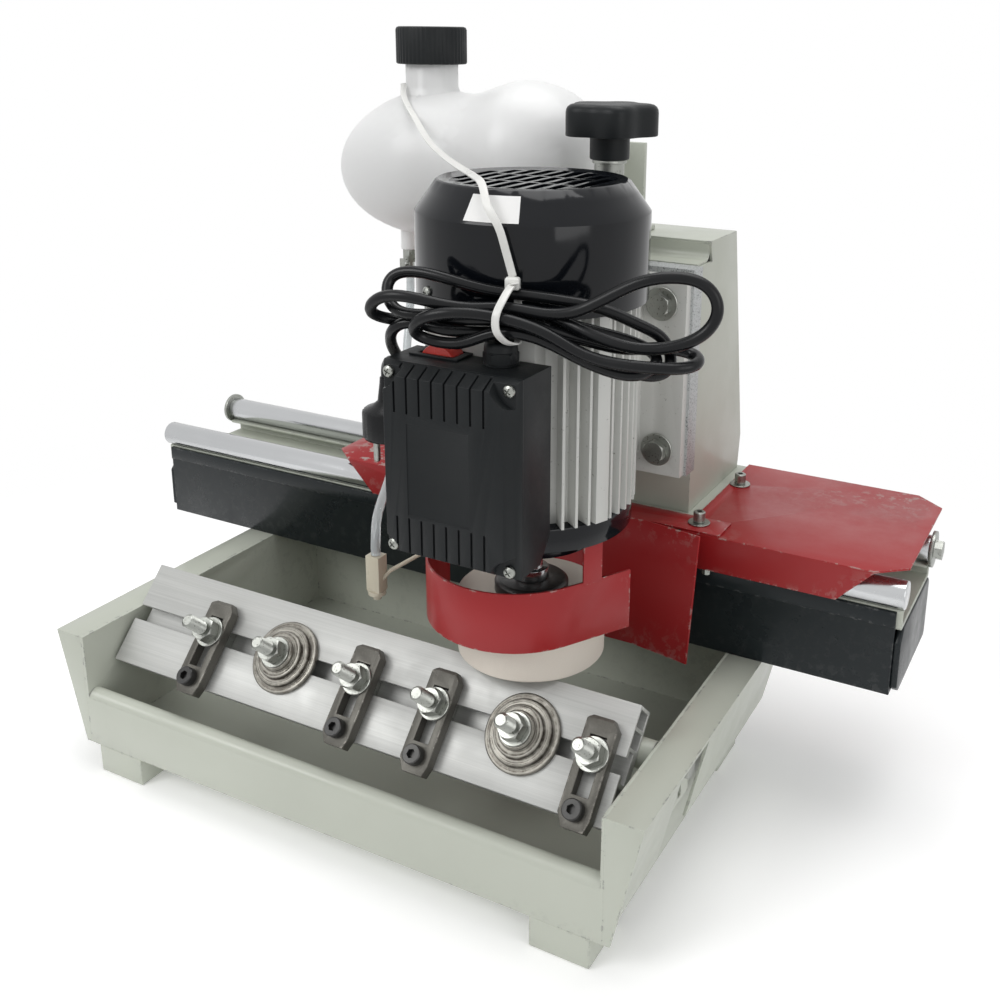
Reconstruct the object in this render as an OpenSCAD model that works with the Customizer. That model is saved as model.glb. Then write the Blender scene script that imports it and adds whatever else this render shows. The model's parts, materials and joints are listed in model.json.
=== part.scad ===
// Wet grinding sharpener for planer knives: a motor with a cup wheel rides along
// two round rails above a coolant tray, and the knife is clamped on a tilting table.
// Millimetres, +Z up, +X to the right, the operator stands on the -Y side.
// The origin lies on the bench, in the middle of the tray's width.

/* [Tray] */
// Half of the tray's width over its side walls
tray_half_w = 215; // [200:1:240]
// Distance from the origin forward to the tray's front face
tray_front = 170; // [165:1:200]
// Distance from the origin back to the tray's rear face
tray_back = 98; // [85:1:120]
// Height of the feet under the tray
foot_h = 22; // [15:1:40]
// Height of the front wall with its rolled top
front_wall_h = 43.5; // [36:0.5:48]
// Height of the side walls, which carry the beam
side_wall_h = 88.5; // [85:0.5:96]
// Thickness of the tray's sheet
sheet_t = 2; // [1.5:0.1:2.5]
// Radius of the rolled top of the front wall
hem_r = 6.5; // [5:0.5:8]
// Width of a side box at its top
side_box_w = 25; // [22:1:32]
// Width of a foot
foot_w = 42; // [30:1:55]
// Depth of a foot
foot_d = 42; // [30:1:55]

/* [Beam and rails] */
// Length of the beam
beam_len = 660; // [600:5:720]
// Front face of the beam behind the origin
beam_front_y = 39; // [36:0.5:40]
// Depth of the beam from front to back
beam_d = 99; // [97:0.5:110]
// Height of the beam's front panel
beam_h = 62.5; // [60:0.5:68]
// Thickness of the beam's steel
beam_t = 2.5; // [2:0.1:4]
// Thickness of the plate that closes each end of the beam
end_cap_t = 5; // [3:0.5:8]
// Radius of the round rails
rail_r = 10; // [9:0.5:11]
// Distance between the two rails
rail_pitch = 84; // [82:0.5:86]
// How far the rails reach past the beam at each end
rail_over = 5; // [5:1:15]

/* [Knife table] */
// Length of the table
table_len = 413; // [380:1:420]
// Width of the table along its slope
table_w = 77; // [74:1:84]
// Thickness of the table's extrusion
table_t = 20; // [20:0.5:24]
// Slope of the table
table_tilt = 46.7; // [40:0.5:55]
// Distance of the pivot in front of the origin
pivot_front = 88; // [84:1:92]
// Height of the pivot above the bench
pivot_z = 100; // [96:1:102]
// Radius of the pivot tube
pivot_tube_r = 10; // [9:0.5:12]
// Width of the table above the pivot line
table_above = 24.2; // [22:0.2:25]
// Width of the T-slot's mouth
slot_w = 11; // [10.6:0.2:13]
// Distance of the T-slot from the table's upper edge
slot_down = 38.7; // [37:0.1:42]

/* [Knife clamps] */
// Length of a clamp strap
strap_len = 69; // [64:1:72]
// Width of a clamp strap
strap_w = 22; // [18:1:24]
// Thickness of a clamp strap
strap_t = 9; // [7:0.5:10]
// Space that the heel screw keeps under a strap
strap_lift = 2; // [1.5:0.1:3]
// Radius of the T-slot bolts
stud_r = 5; // [4:0.1:5.1]
// Height of the T-slot bolts above the table
stud_h = 40; // [36:1:42]
// Radius of a stepped stop at its base
stop_r = 26; // [22:1:27]
// Height of one step of a stop
stop_step_h = 3.6; // [2.5:0.1:4]

/* [Carriage] */
// Where the carriage stands along the rails
carriage_x = 107; // [80:1:120]
// Half of the carriage plate's width
carriage_half_w = 95; // [92:1:105]
// Thickness of the carriage plate
carriage_t = 4; // [3:0.5:6]
// Height of a bearing block
bearing_h = 23; // [20:0.5:24]
// Length of a bearing block
bearing_len = 30; // [24:1:36]
// Running clearance between a rail and its bearing
bearing_gap = 0.05; // [0.02:0.01:0.1]
// Thickness of the red sheet covers
cover_t = 1.5; // [1:0.1:2]
// Length of the right cover
cover_right_len = 157; // [130:1:180]
// Length of the left cover
cover_left_len = 173; // [130:1:190]
// Height of the covers' front flange
cover_flange_h = 25; // [18:1:26]
// Height of the splash guard's panel
splash_h = 91.5; // [70:0.5:91.5]

/* [Column and lift] */
// Half of the column's width
column_half_w = 63; // [60:0.5:66]
// Height of the column above the carriage
column_h = 200; // [190:1:215]
// Thickness of the column's sheet
column_t = 2.5; // [2:0.1:3.5]
// Depth of the column at its foot
column_d = 108; // [96:1:115]
// Thickness of the moving slide plate
slide_t = 16; // [15:0.5:18]
// Height of the slide plate
slide_h = 151; // [146:1:160]
// Sliding clearance of the dovetail
slide_gap = 0.2; // [0.1:0.05:0.3]
// Radius of the lifting screw
screw_r = 5; // [4:0.1:6]
// Reach of the lifting knob's lobes
knob_r = 33.5; // [30:0.5:37]
// Height of the lifting knob's head
knob_h = 22; // [18:1:28]

/* [Motor] */
// Distance of the motor's axis in front of the origin
motor_front = 63; // [62:0.5:66]
// Reach of the cooling fins from the axis
fin_r = 68; // [64:0.5:68]
// Radius of the housing under the fins
housing_r = 57; // [55:0.5:59]
// Height of the finned housing
housing_h = 133; // [125:1:140]
// Bottom of the finned housing above the bench
housing_z = 254; // [253:1:258]
// Thickness of a fin
fin_t = 1.8; // [1.2:0.1:2.4]
// Number of places for fins around the housing
fin_count = 48; // [36:4:56]
// Radius of the fan cover
fan_cover_r = 73; // [71:0.5:74]
// Height of the fan cover
fan_cover_h = 73; // [66:1:80]
// Radius of the fan cover's flat top
fan_top_r = 59; // [52:1:62]
// Radius of the motor's shaft
shaft_r = 7.5; // [6:0.1:8]

/* [Grinding wheel] */
// Radius of the cup wheel
wheel_r = 50; // [40:1:50]
// Height of the cup wheel
wheel_h = 42.5; // [35:0.5:42.5]
// Wall of the cup wheel
wheel_wall = 13; // [8:1:18]
// Top of the cup wheel above the bench
wheel_top_z = 182.2; // [182.2:0.2:186]
// Radius of the wheel's clamping flange
flange_r = 25; // [20:1:30]
// Radius of the bent wheel guard
guard_r = 60; // [59:0.5:66]
// Height of the wheel guard's band
guard_h = 41; // [30:1:42]

/* [Junction box] */
// Width of the junction box
box_w = 92; // [86:1:94]
// Height of the junction box
box_h = 120; // [114:1:122]
// Depth of the junction box's lid
lid_d = 12; // [9:0.5:14]
// Draft of the lid's sides, from its rim to its front
lid_draft = 6; // [4:0.5:7]
// Front face of the lid, measured from the motor's axis
box_front = 109; // [106:0.5:112]
// Wall of the junction box
box_wall = 2.5; // [2:0.1:3.5]
// Radius of the cable gland
gland_r = 10.5; // [8:0.5:11]

/* [Coolant] */
// Half of the bottle's length
bottle_half_len = 119; // [110:1:121]
// Largest radius of the bottle
bottle_r = 62; // [56:1:63]
// Wall of the bottle
bottle_wall = 1.8; // [1.2:0.1:2.5]
// Radius of the bottle's neck
neck_r = 21; // [17:0.5:23]
// Radius of the bottle's cap
cap_r = 28.5; // [26:0.5:30]
// Height of the bottle's cap
cap_h = 29; // [22:1:30]

/* [Hidden] */
$fn = 48;

// Colours
pale_green = "#b7bfab";
beam_black = "#272d33";
red_sheet = "#a52a2c";
bright_steel = "#c4c6c8";
zinc = "#b9bcbc";
dark_steel = "#5a544c";
alloy = "#c9cccd";
black_plastic = "#24272a";
gloss_black = "#141618";

// Tray
tray_top = foot_h + side_wall_h;
wall_in = tray_half_w - sheet_t;
side_box_drop = 66;
side_box_taper = 15;
end_plate_foot = 5;
hem_return = 8;
foot_wall = 2.5;
foot_in = 12;
rear_foot_gap = 4;

// Pivot hardware
pivot_y = -pivot_front;
tab_out = 11;
tab_t = 3;
tab_half = 16;
tab_h = 38;
bolt_hole_gap = 0.3;
pivot_bolt_r = 5;
pivot_bolt_in = 28;
pivot_head_r = min(9.5, tray_top - sheet_t - pivot_z - 0.3);

// Beam, bed and rails
beam_z = tray_top;
beam_top = beam_z + beam_h;
beam_back_y = beam_front_y + beam_d;
rear_panel_drop = 10;
lip_h = 11;
bed_t = 2.5;
bed_floor_z = beam_top - 13.5;
bed_top_z = beam_top + 1;
bed_lip = 11;
rail_z = bed_top_z + rail_r;
rail_front_y = beam_front_y + 7;
rail_rear_y = rail_front_y + rail_pitch;
rail_half = beam_len / 2 + rail_over;
end_washer_r = 13.5;
end_washer_t = 2.5;
m8_head_r = 7.5;
m8_head_h = 5.5;

// Table: the local frame has its origin on the pivot, +Y up the slope and +Z out of the face
face_h = pivot_tube_r + table_t;
table_x = -3;
slot_y = table_above - slot_down;
slot_lip = 4.5;
slot_cavity_w = slot_w + 9;
slot_cavity_h = 8;
skin = 2.4;
t_head_gap = 0.4;
strap_slot_gap = 0.6;
strap_low = 84;
heel_up = 11;
heel_r = 4;
heel_head_r = 6.5;
heel_head_h = 7;
washer_r = 11;
washer_t = 2;
nut_r = 9.2;
nut_h = 9;
clamp_at = [-127, 7, 70.4, 186.3];
stop_at = [-62.5, 133];
stop_steps = 4;
stop_step_in = 4.5;

// Carriage
bearing_top = rail_z - 8 + bearing_h;
bearing_w = 28;
plate_z = bearing_top;
cover_z = plate_z + carriage_t;
plate_front_y = beam_front_y - 9;
plate_back_y = rail_rear_y + 46;
cover_front_y = plate_front_y - 2;
cover_back_y = plate_back_y + 2;
cover_in = column_half_w + 8;
cover_corner_x = 20;
cover_corner_y = 17;
cover_screw_x = cover_in + 8;
cover_screw_y = [cover_front_y + 15, cover_back_y - 46];
flange_slope = 24;
splash_half = 99.5;
splash_d = 25;
splash_lean = 10;
splash_bend = 43;
splash_out = 12;
splash_reach = 90;
cap_screw_r = 4.2;
cap_screw_h = 8;
m5_washer_r = 8;
m5_r = 2.5;

// Column and lift
column_y = rail_front_y + 17;
column_top_z = cover_z + column_h;
column_front_top = column_top_z - 15;
column_top_y = column_y + 22;
column_back_top = column_y + 76;
column_knee = 28;
slide_back_y = column_y - 0.4;
slide_front_y = slide_back_y - slide_t;
slide_half_w = column_half_w + 3;
slide_z = column_front_top - 150;
slide_top = slide_z + slide_h;
way_root = 20;
way_tip = 27;
way_d = 10.5;
way_z = slide_z - 2;
screw_x = carriage_x - 4;
screw_y = slide_front_y + 7.6;
way_cap = 12;
way_top = slide_top - way_cap - 1.5;
lift_travel = 35;
bracket_z = slide_top + lift_travel + 3;
bracket_t = 4;
bracket_half = 12;
collar_h = 26;
knob_wave = 2.8;
knob_stem_r = 14;
knob_stem_h = 16.5;
knob_washer_t = 2.5;
knob_z = bracket_z + bracket_t + collar_h + knob_washer_t;
screw_bottom = slide_top - 8;

// Motor
motor_x = carriage_x;
motor_y = -motor_front;
foot_plate_t = 8;
foot_plate_y = slide_front_y - foot_plate_t;
foot_plate_half = 64;
foot_plate_h = 146;
foot_web_x = 24;
foot_web_t = 8;
foot_bolt_x = 46;
foot_bolt_z = [slide_z + 20, slide_z + 127];
housing_top = housing_z + housing_h;
bore_r = housing_r - 5;
rib_at = -22;
stator_gap = 0.1;
rotor_r = 31.5;
air_gap = 0.5;
stack_z = housing_z + 28;
stack_h = 74;
shield_h = 16;
shield_boss_h = 14;
shield_boss_r = 44;
bearing_r = 17.5;
bearing_w2 = 11;
fit_gap = 0.05;
fan_r = 62;
fan_h = 26;
fan_z = housing_top + 16;
fan_blades = 8;
cover_wall = 1.5;
fan_cover_z = housing_top - 1;
fan_cover_top = fan_cover_z + fan_cover_h;
shoulder_z = fan_cover_top - 19;
grille_slots = 9;

// Wheel
wheel_z = wheel_top_z - wheel_h;
wheel_back = 12;
arbor_r = 6;
flange_h = 9;
guard_t = 1.5;
guard_cx = motor_x - 7;
guard_cy = motor_y - 9;
guard_end = 330;
guard_start = 172;
guard_tail = 51;
guard_bends = 25;
guard_z = wheel_top_z - 13;
guard_tab_z = housing_z - shield_h - guard_t;
strap_w2 = 14;

// Junction box
box_x0 = motor_x + 2.25 - box_w / 2;
lid_front_y = motor_y - box_front;
lid_back_y = lid_front_y + lid_d;
box_back_y = motor_y - 65;
box_z = housing_z - 12;
box_top = box_z + box_h;
hug_gap = 0.3;
lid_rim = 1.5;
lid_screw_in = 6;
lid_pocket_r = 16;
groove_w = 1.4;
groove_d = 1.6;
switch_x = motor_x - 19;
switch_y = lid_back_y + 22.4;
switch_z = box_top - 5;
gland_x = motor_x + 21.5;
gland_y = lid_back_y + 21;
gland_z = box_top;
gland_h = 14;

// Bottle
bottle_off = 155.7;
bottle_x = carriage_x - bottle_off;
bottle_y = column_y + 49;
bottle_z = column_top_z + 41.7;
bottle_tilt = 6.7;
neck_x = -34.3;
neck_top = 98.3;
tap_x = -60.3;
tap_low = 77;
cap_gap = 0.3;
bar_y = bottle_y + bottle_r;

// Cord, hose and tie: round points, chosen by hand
cord_r = 3.4;
hose_r = 3.5;
hose_points = [[bottle_x + tap_x, bottle_y, bottle_z - tap_low - 23.3], [-109, 112, 330], [-108, 108, 310], [-104, 98, 290], [-96, 84, 270],
    [-86, 66, 252], [-74, 44, 238], [-62, 20, 228], [-48, -6, 220], [-35, -32, 215],
    [-23, -56, 212], [-13, -74, 208], [-7, -83, 202], [-6, -85, 196], [-6, -85, 190.3]];
lead_points = [[70, -157, 384], [63, -153, 373], [58, -146, 364], [55, -137, 357], [48, -127, 350.5], [38, -116, 345.5],
    [27, -105, 341.5], [18, -96.5, 337], [13.5, -92.5, 331], [13, -92, 325]];
hank_r = 19.5;
hank_d = 28;
hank_turn = 15;
hank_back = fan_cover_r + 1;
hank_z = gland_z + gland_h + hank_r;
hank_x = [-56, 101];
tie_points = [[-99.1, 95, 504], [-86, 77.5, 493.5], [-62, 58, 479], [-20, 12, 469], [20, -31, 465], [60, -74, 463.6],
    [92, -108, 463.3], [108, -125, 461.5], [118, -135.5, 451], [126.6, -137.4, 439.4], [131, -137, 426],
    [134.9, -136, 412]];
tie_w = 4.5;
tie_t = 1.4;

// ---- helpers ----

// A box between two corners
module block(low, high) {
    translate(low) cube(high - low);
}

// A profile drawn in Y and Z, drawn out along X
module along_x(x0, x1) {
    translate([x0, 0, 0]) rotate([90, 0, 90]) linear_extrude(x1 - x0) children();
}

// A profile drawn in X and Z, drawn out along Y
module along_y(y0, y1) {
    translate([0, y1, 0]) rotate([90, 0, 0]) linear_extrude(y1 - y0) children();
}

// A cylinder that points along +X
module rod_x(r, x0, x1, faces = 48) {
    translate([x0, 0, 0]) rotate([0, 90, 0]) cylinder(r = r, h = x1 - x0, $fn = faces);
}

// A cylinder that points along +Y
module rod_y(r, y0, y1, faces = 48) {
    translate([0, y1, 0]) rotate([90, 0, 0]) cylinder(r = r, h = y1 - y0, $fn = faces);
}

// Both copies of a shape, left and right of the plane through x
module both_sides(x = 0) {
    children();
    translate([2 * x, 0, 0]) mirror([1, 0, 0]) children();
}

// Places a shape in the knife table's own frame
module on_table() {
    translate([0, pivot_y, pivot_z]) rotate([table_tilt, 0, 0]) children();
}

// Places a shape on the motor's axis
module on_motor(z = 0) {
    translate([motor_x, motor_y, z]) children();
}

function unit(v) = v / norm(v);
function heading(p, i) = unit(p[min(i + 1, len(p) - 1)] - p[max(i - 1, 0)]);
function side_of(d) = unit(cross(d, [1, 0, 0]));

// One ring of a tube's wall, square to its heading
function ring(c, d, r, n) = [for (k = [0:n - 1])
    c + r * (cos(360 * k / n) * side_of(d) + sin(360 * k / n) * cross(d, side_of(d)))];

// A plain tube swept along a list of points
module tube(points, r, n) {
    rings = len(points);
    verts = [for (i = [0:rings - 1]) each ring(points[i], heading(points, i), r, n)];
    sides = [for (i = [0:rings - 2], k = [0:n - 1])
        [i * n + k, (i + 1) * n + k, (i + 1) * n + (k + 1) % n, i * n + (k + 1) % n]];
    caps = [[for (k = [0:n - 1]) k], [for (k = [n - 1:-1:0]) (rings - 1) * n + k]];
    polyhedron(points = verts, faces = concat(caps, sides));
}

// ---- base ----

module tray() color(pale_green) {
    difference() {
        union() {
            block([-tray_half_w, -tray_front, foot_h], [tray_half_w, tray_back, foot_h + sheet_t]);
            both_sides() block([wall_in, -tray_front, foot_h], [tray_half_w, tray_back, tray_top]);
            block([-tray_half_w, tray_back - sheet_t, foot_h], [tray_half_w, tray_back, tray_top]);
            along_x(-tray_half_w, tray_half_w) front_wall_profile();
        }
        translate([0, pivot_y, pivot_z]) rod_x(pivot_bolt_r + bolt_hole_gap, -tray_half_w - 1, tray_half_w + 1);
    }
}

module front_wall_profile() {
    hem_z = foot_h + front_wall_h - hem_r;
    translate([-tray_front, foot_h]) square([sheet_t, front_wall_h - hem_r]);
    intersection() {
        translate([-tray_front + hem_r, hem_z]) difference() {
            circle(r = hem_r);
            circle(r = hem_r - sheet_t);
        }
        translate([-tray_front, hem_z]) square([2 * hem_r, hem_r]);
    }
    translate([-tray_front + 2 * hem_r - sheet_t, hem_z - hem_return]) square([sheet_t, hem_return]);
}

// Each side box is a folded sheet: a top, a slanted outer panel and two end plates
module side_boxes() color(pale_green) both_sides() side_box();

module side_box() {
    x0 = tray_half_w;
    x1 = tray_half_w + side_box_w;
    xl = x1 - side_box_taper;
    difference() {
        along_y(-tray_front, tray_back) polygon([[x0, tray_top], [x1, tray_top], [xl, tray_top - side_box_drop],
            [xl - sheet_t, tray_top - side_box_drop], [x1 - sheet_t - 0.5, tray_top - sheet_t], [x0, tray_top - sheet_t]]);
        block([x0 + 2, pivot_y - tab_half - 8, tray_top - side_box_drop - 1],
            [x1 + 1, pivot_y + tab_half + 8, tray_top - sheet_t - 2]);
    }
    along_y(-tray_front, -tray_front + sheet_t) polygon([[x0, foot_h], [x0 + end_plate_foot, foot_h],
        [x1, tray_top], [x0, tray_top]]);
    along_y(tray_back - sheet_t, tray_back) polygon([[x0, tray_top - side_box_drop],
        [xl, tray_top - side_box_drop], [x1, tray_top], [x0, tray_top]]);
    difference() {
        block([x0 + tab_out, pivot_y - tab_half, tray_top - tab_h],
            [x0 + tab_out + tab_t, pivot_y + tab_half, tray_top - sheet_t]);
        translate([0, pivot_y, pivot_z]) rod_x(pivot_bolt_r + bolt_hole_gap, x0, x1 + 1);
        block([x0, pivot_y - 2.5, tray_top - tab_h + 4], [x1, pivot_y + 2.5, pivot_z - 12]);
    }
}

module feet() color(pale_green) both_sides() {
    x0 = tray_half_w - foot_in - foot_w + 4;
    foot(x0, -tray_front);
    foot(x0, tray_back - rear_foot_gap - foot_d);
}

module foot(x0, y0) {
    difference() {
        block([x0, y0, 0], [x0 + foot_w, y0 + foot_d, foot_h]);
        block([x0 + foot_wall, y0 + foot_wall, foot_wall], [x0 + foot_w - foot_wall, y0 + foot_d + 1, foot_h - foot_wall]);
    }
}

module beam() color(beam_black) along_x(-beam_len / 2, beam_len / 2) {
    translate([beam_front_y, beam_z]) square([beam_t, beam_h]);
    translate([beam_front_y, beam_z]) square([beam_d, beam_t]);
    translate([beam_back_y - beam_t, beam_z]) square([beam_t, beam_h - rear_panel_drop]);
    translate([beam_front_y - 0.8, beam_top - lip_h]) square([beam_t, lip_h]);
}

module beam_end_caps() color(beam_black) both_sides()
    along_x(beam_len / 2, beam_len / 2 + end_cap_t - 0.3) polygon([[beam_front_y + 1, beam_z + 6],
        [beam_front_y + 9, beam_z], [beam_back_y - 3, beam_z], [beam_back_y, beam_z + 3],
        [beam_back_y, bed_floor_z - 4], [beam_back_y - 4, bed_floor_z - 0.3],
        [beam_front_y + 9, bed_floor_z - 0.3], [beam_front_y + 1, bed_floor_z - 10]]);

module rail_bed() color(pale_green) along_x(-beam_len / 2 - 4, beam_len / 2 + 4) {
    y0 = beam_front_y + beam_t;
    y1 = beam_back_y - beam_t;
    translate([y0, bed_floor_z]) square([y1 - y0, bed_t]);
    translate([y0, bed_floor_z]) square([bed_t, bed_top_z - bed_floor_z]);
    translate([y1 - bed_t, bed_floor_z]) square([bed_t, bed_top_z - bed_floor_z]);
    translate([y0, bed_top_z - bed_t]) square([bed_lip, bed_t]);
    translate([y1 - bed_lip - 3, bed_top_z - bed_t]) square([bed_lip + 3, bed_t]);
}

module rails() color(bright_steel) {
    translate([0, rail_front_y, rail_z]) rod_x(rail_r, -rail_half, rail_half);
    translate([0, rail_rear_y, rail_z]) difference() {
        rod_x(rail_r, -rail_half, rail_half);
        both_sides() rod_x(4, rail_half - 25, rail_half + 1);
    }
}

// Table pivot bolts in the side boxes, and the rear rail's end washers and bolts
module base_bolts() color(zinc) both_sides() {
    head_x = tray_half_w + tab_out + tab_t;
    translate([0, pivot_y, pivot_z]) {
        rod_x(pivot_bolt_r, wall_in - pivot_bolt_in, head_x);
        rod_x(pivot_head_r, head_x, head_x + 1.8);
        rod_x(pivot_head_r - 0.8, head_x + 1.8, head_x + 7.5, 6);
    }
    translate([0, rail_rear_y, rail_z]) {
        rod_x(3.8, rail_half - 20, rail_half);
        rod_x(end_washer_r, rail_half, rail_half + end_washer_t);
        rod_x(m8_head_r, rail_half + end_washer_t, rail_half + end_washer_t + m8_head_h, 6);
    }
}

// ---- knife table ----

module table_extrusion() color(alloy) on_table()
    along_x(table_x - table_len / 2, table_x + table_len / 2) difference() {
        translate([table_above - table_w, face_h - table_t]) square([table_w, table_t]);
        translate([slot_y - slot_w / 2, face_h - slot_lip - 1]) square([slot_w, slot_lip + 2]);
        translate([slot_y - slot_cavity_w / 2, face_h - slot_lip - slot_cavity_h]) square([slot_cavity_w, slot_cavity_h]);
        chambers(table_above - table_w + skin, slot_y - slot_cavity_w / 2 - skin);
        chambers(slot_y + slot_cavity_w / 2 + skin, table_above - skin);
    }

// Hollow chambers between two heights of the profile, with one thin rib
module chambers(low, high) {
    half = (high - low - skin) / 2;
    translate([low, face_h - table_t + skin]) square([half, table_t - 2 * skin]);
    translate([high - half, face_h - table_t + skin]) square([half, table_t - 2 * skin]);
}

// Tube on the pivot line, welded to a flat that carries the table
module pivot_tube() color(pale_green) on_table() difference() {
    union() {
        rod_x(pivot_tube_r, -wall_in + 1, wall_in - 1);
        block([table_x - table_len / 2 + 8, -24, pivot_tube_r - 5],
            [table_x + table_len / 2 - 8, 18, pivot_tube_r]);
    }
    rod_x(pivot_bolt_r + 0.08, -tray_half_w, tray_half_w);
}

// A strap clamp: its nose reaches up the table and its heel screw stands near the lower edge
module clamp_strap(i) color(dark_steel) on_table() translate([clamp_at[i - 1], 0, face_h]) {
    low = table_above - strap_low;
    high = low + strap_len;
    difference() {
        translate([0, 0, strap_lift]) linear_extrude(strap_t) polygon([[-strap_w / 2 + 5, low],
            [strap_w / 2 - 2, low], [strap_w / 2, low + 7], [strap_w / 2, high - 6], [strap_w / 2 - 5, high],
            [-strap_w / 2 + 3, high], [-strap_w / 2, high - 3], [-strap_w / 2, low + 8]]);
        slot_low = low + heel_up + heel_r + 5;
        block([-stud_r - strap_slot_gap, slot_low, 0], [stud_r + strap_slot_gap, high - 12, strap_lift + strap_t + 1]);
        translate([0, low + heel_up, 0]) cylinder(r = heel_r + 0.1, h = 30);
        translate([0, high + 2, strap_lift + strap_t + 1.5]) rotate([45, 0, 0]) cube([strap_w + 2, 8, 8], center = true);
    }
}

// Heel screw, T-slot bolt, washer and nut of one clamp, as separate pieces
module clamp_bolts(i) color(zinc) on_table() translate([clamp_at[i - 1], 0, face_h]) {
    heel_y = table_above - strap_low + heel_up;
    translate([0, heel_y, 0]) {
        cylinder(r = heel_r, h = strap_lift + strap_t);
        translate([0, 0, strap_lift + strap_t]) difference() {
            cylinder(r = heel_head_r, h = heel_head_h);
            translate([0, 0, 3]) cylinder(r = 3.4, h = heel_head_h, $fn = 6);
        }
    }
    translate([0, slot_y, 0]) slot_bolt(strap_lift + strap_t);
}

// A bolt whose square head sits in the T-slot, with its washer and nut above a given height
module slot_bolt(seat) {
    head_w = slot_cavity_w - 1;
    translate([-slot_w / 2 + t_head_gap, -head_w / 2, -slot_lip - slot_cavity_h + 0.5])
        cube([slot_w - 2 * t_head_gap, head_w, slot_cavity_h - 1]);
    translate([0, 0, -slot_lip - 1]) cylinder(r = stud_r, h = stud_h + slot_lip + 1);
    translate([0, 0, seat]) difference() {
        union() {
            cylinder(r = washer_r, h = washer_t);
            translate([0, 0, washer_t]) cylinder(r = nut_r, h = nut_h, $fn = 6);
        }
        translate([0, 0, -1]) cylinder(r = stud_r + 0.05, h = washer_t + nut_h + 2);
    }
}

// A turned stop with steps, on its own T-slot bolt
module stepped_stop(i) color(bright_steel) on_table() translate([stop_at[i - 1], slot_y, face_h]) {
    difference() {
        for (k = [0:stop_steps - 1])
            translate([0, 0, k * stop_step_h]) cylinder(r = stop_r - k * stop_step_in, h = stop_step_h);
        translate([0, 0, -1]) cylinder(r = stud_r + 0.3, h = stop_steps * stop_step_h + 2);
    }
    slot_bolt(stop_steps * stop_step_h);
}

// ---- carriage ----

module carriage_plate() color(pale_green) {
    x = carriage_x;
    difference() {
        block([x - carriage_half_w, plate_front_y, plate_z], [x + carriage_half_w, plate_back_y, cover_z]);
        for (y = cover_screw_y, s = [-1, 1])
            translate([x + s * cover_screw_x, y, plate_z - 1]) cylinder(r = m5_r + 0.05, h = carriage_t + 2);
    }
    block([x + carriage_half_w - 10, plate_front_y + 0.3, plate_z - 19], [x + carriage_half_w, plate_front_y + 5.6, plate_z]);
}

module bearing_blocks() color(alloy) {
    for (y = [rail_front_y, rail_rear_y], s = [-1, 1]) {
        x = carriage_x + s * (column_half_w - bearing_len / 2);
        difference() {
            block([x - bearing_len / 2, y - bearing_w / 2, bearing_top - bearing_h],
                [x + bearing_len / 2, y + bearing_w / 2, bearing_top]);
            translate([0, y, rail_z]) rod_x(rail_r + bearing_gap, x - bearing_len, x + bearing_len);
        }
    }
}

// Folded column: closed below, and open in front above the slide
module column() color(pale_green) {
    x0 = carriage_x - column_half_w;
    x1 = carriage_x + column_half_w;
    back = column_y + column_d;
    side = [[column_y, cover_z], [back, cover_z], [back + 4, cover_z + column_knee],
        [column_back_top, column_top_z], [column_top_y, column_top_z], [column_top_y + 4, column_front_top],
        [column_y, column_front_top]];
    difference() {
        along_x(x0, x1) polygon(side);
        along_x(x0 + column_t, x1 - column_t) polygon([[column_y + column_t, cover_z + column_t],
            [back - column_t, cover_z + column_t], [back + 4 - column_t, cover_z + column_knee],
            [column_back_top - column_t, column_top_z - column_t],
            [column_top_y - 1, column_top_z - column_t], [column_top_y - 1, column_front_top + 1],
            [column_y + column_t, column_front_top + 1]]);
        block([x0 - 1, column_top_y - 2, column_top_z - 6], [x0 + 12, column_top_y + 3, column_top_z - 3]);
    }
}

// Dovetail way on the front of the column
module slide_way() color(alloy) translate([carriage_x, 0, way_z]) linear_extrude(way_top - way_z)
    polygon([[-way_root, column_y], [way_root, column_y], [way_tip, column_y - way_d], [-way_tip, column_y - way_d]]);

// Angle that holds the lifting screw above the slide
module screw_bracket() color(pale_green) {
    x0 = screw_x - bracket_half;
    x1 = screw_x + bracket_half;
    riser_y = column_top_y + 1;
    difference() {
        union() {
            block([x0, riser_y, column_top_z], [x1, riser_y + 26, column_top_z + bracket_t]);
            block([x0, riser_y, column_top_z], [x1, riser_y + bracket_t, bracket_z]);
            block([x0, screw_y - 13, bracket_z], [x1, riser_y + bracket_t, bracket_z + bracket_t]);
        }
        translate([screw_x, screw_y, bracket_z - 1]) cylinder(r = screw_r + fit_gap, h = bracket_t + 2);
    }
}

// A red cover over the rails; dir is 1 on the right and -1 on the left
module cover_sheet(len, dir) {
    outer = cover_in + len;
    fold_end = outer - cover_corner_x;
    translate([carriage_x, 0, 0]) mirror([dir < 0 ? 1 : 0, 0, 0]) {
        difference() {
            translate([0, 0, cover_z]) linear_extrude(cover_t) polygon([[cover_in, cover_front_y],
                [fold_end, cover_front_y], [outer, cover_front_y + cover_corner_y],
                [outer, cover_back_y - cover_corner_y], [fold_end, cover_back_y], [cover_in, cover_back_y]]);
            for (y = cover_screw_y)
                translate([cover_screw_x, y, cover_z - 1]) cylinder(r = m5_r + bolt_hole_gap, h = cover_t + 2);
        }
        along_y(cover_front_y, cover_front_y + cover_t) polygon([[cover_in, cover_z], [fold_end, cover_z],
            [fold_end - flange_slope, cover_z - cover_flange_h], [cover_in, cover_z - cover_flange_h]]);
    }
}

module cover_right() color(red_sheet) cover_sheet(cover_right_len, 1);

module cover_left() color(red_sheet) cover_sheet(cover_left_len, -1);

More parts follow.
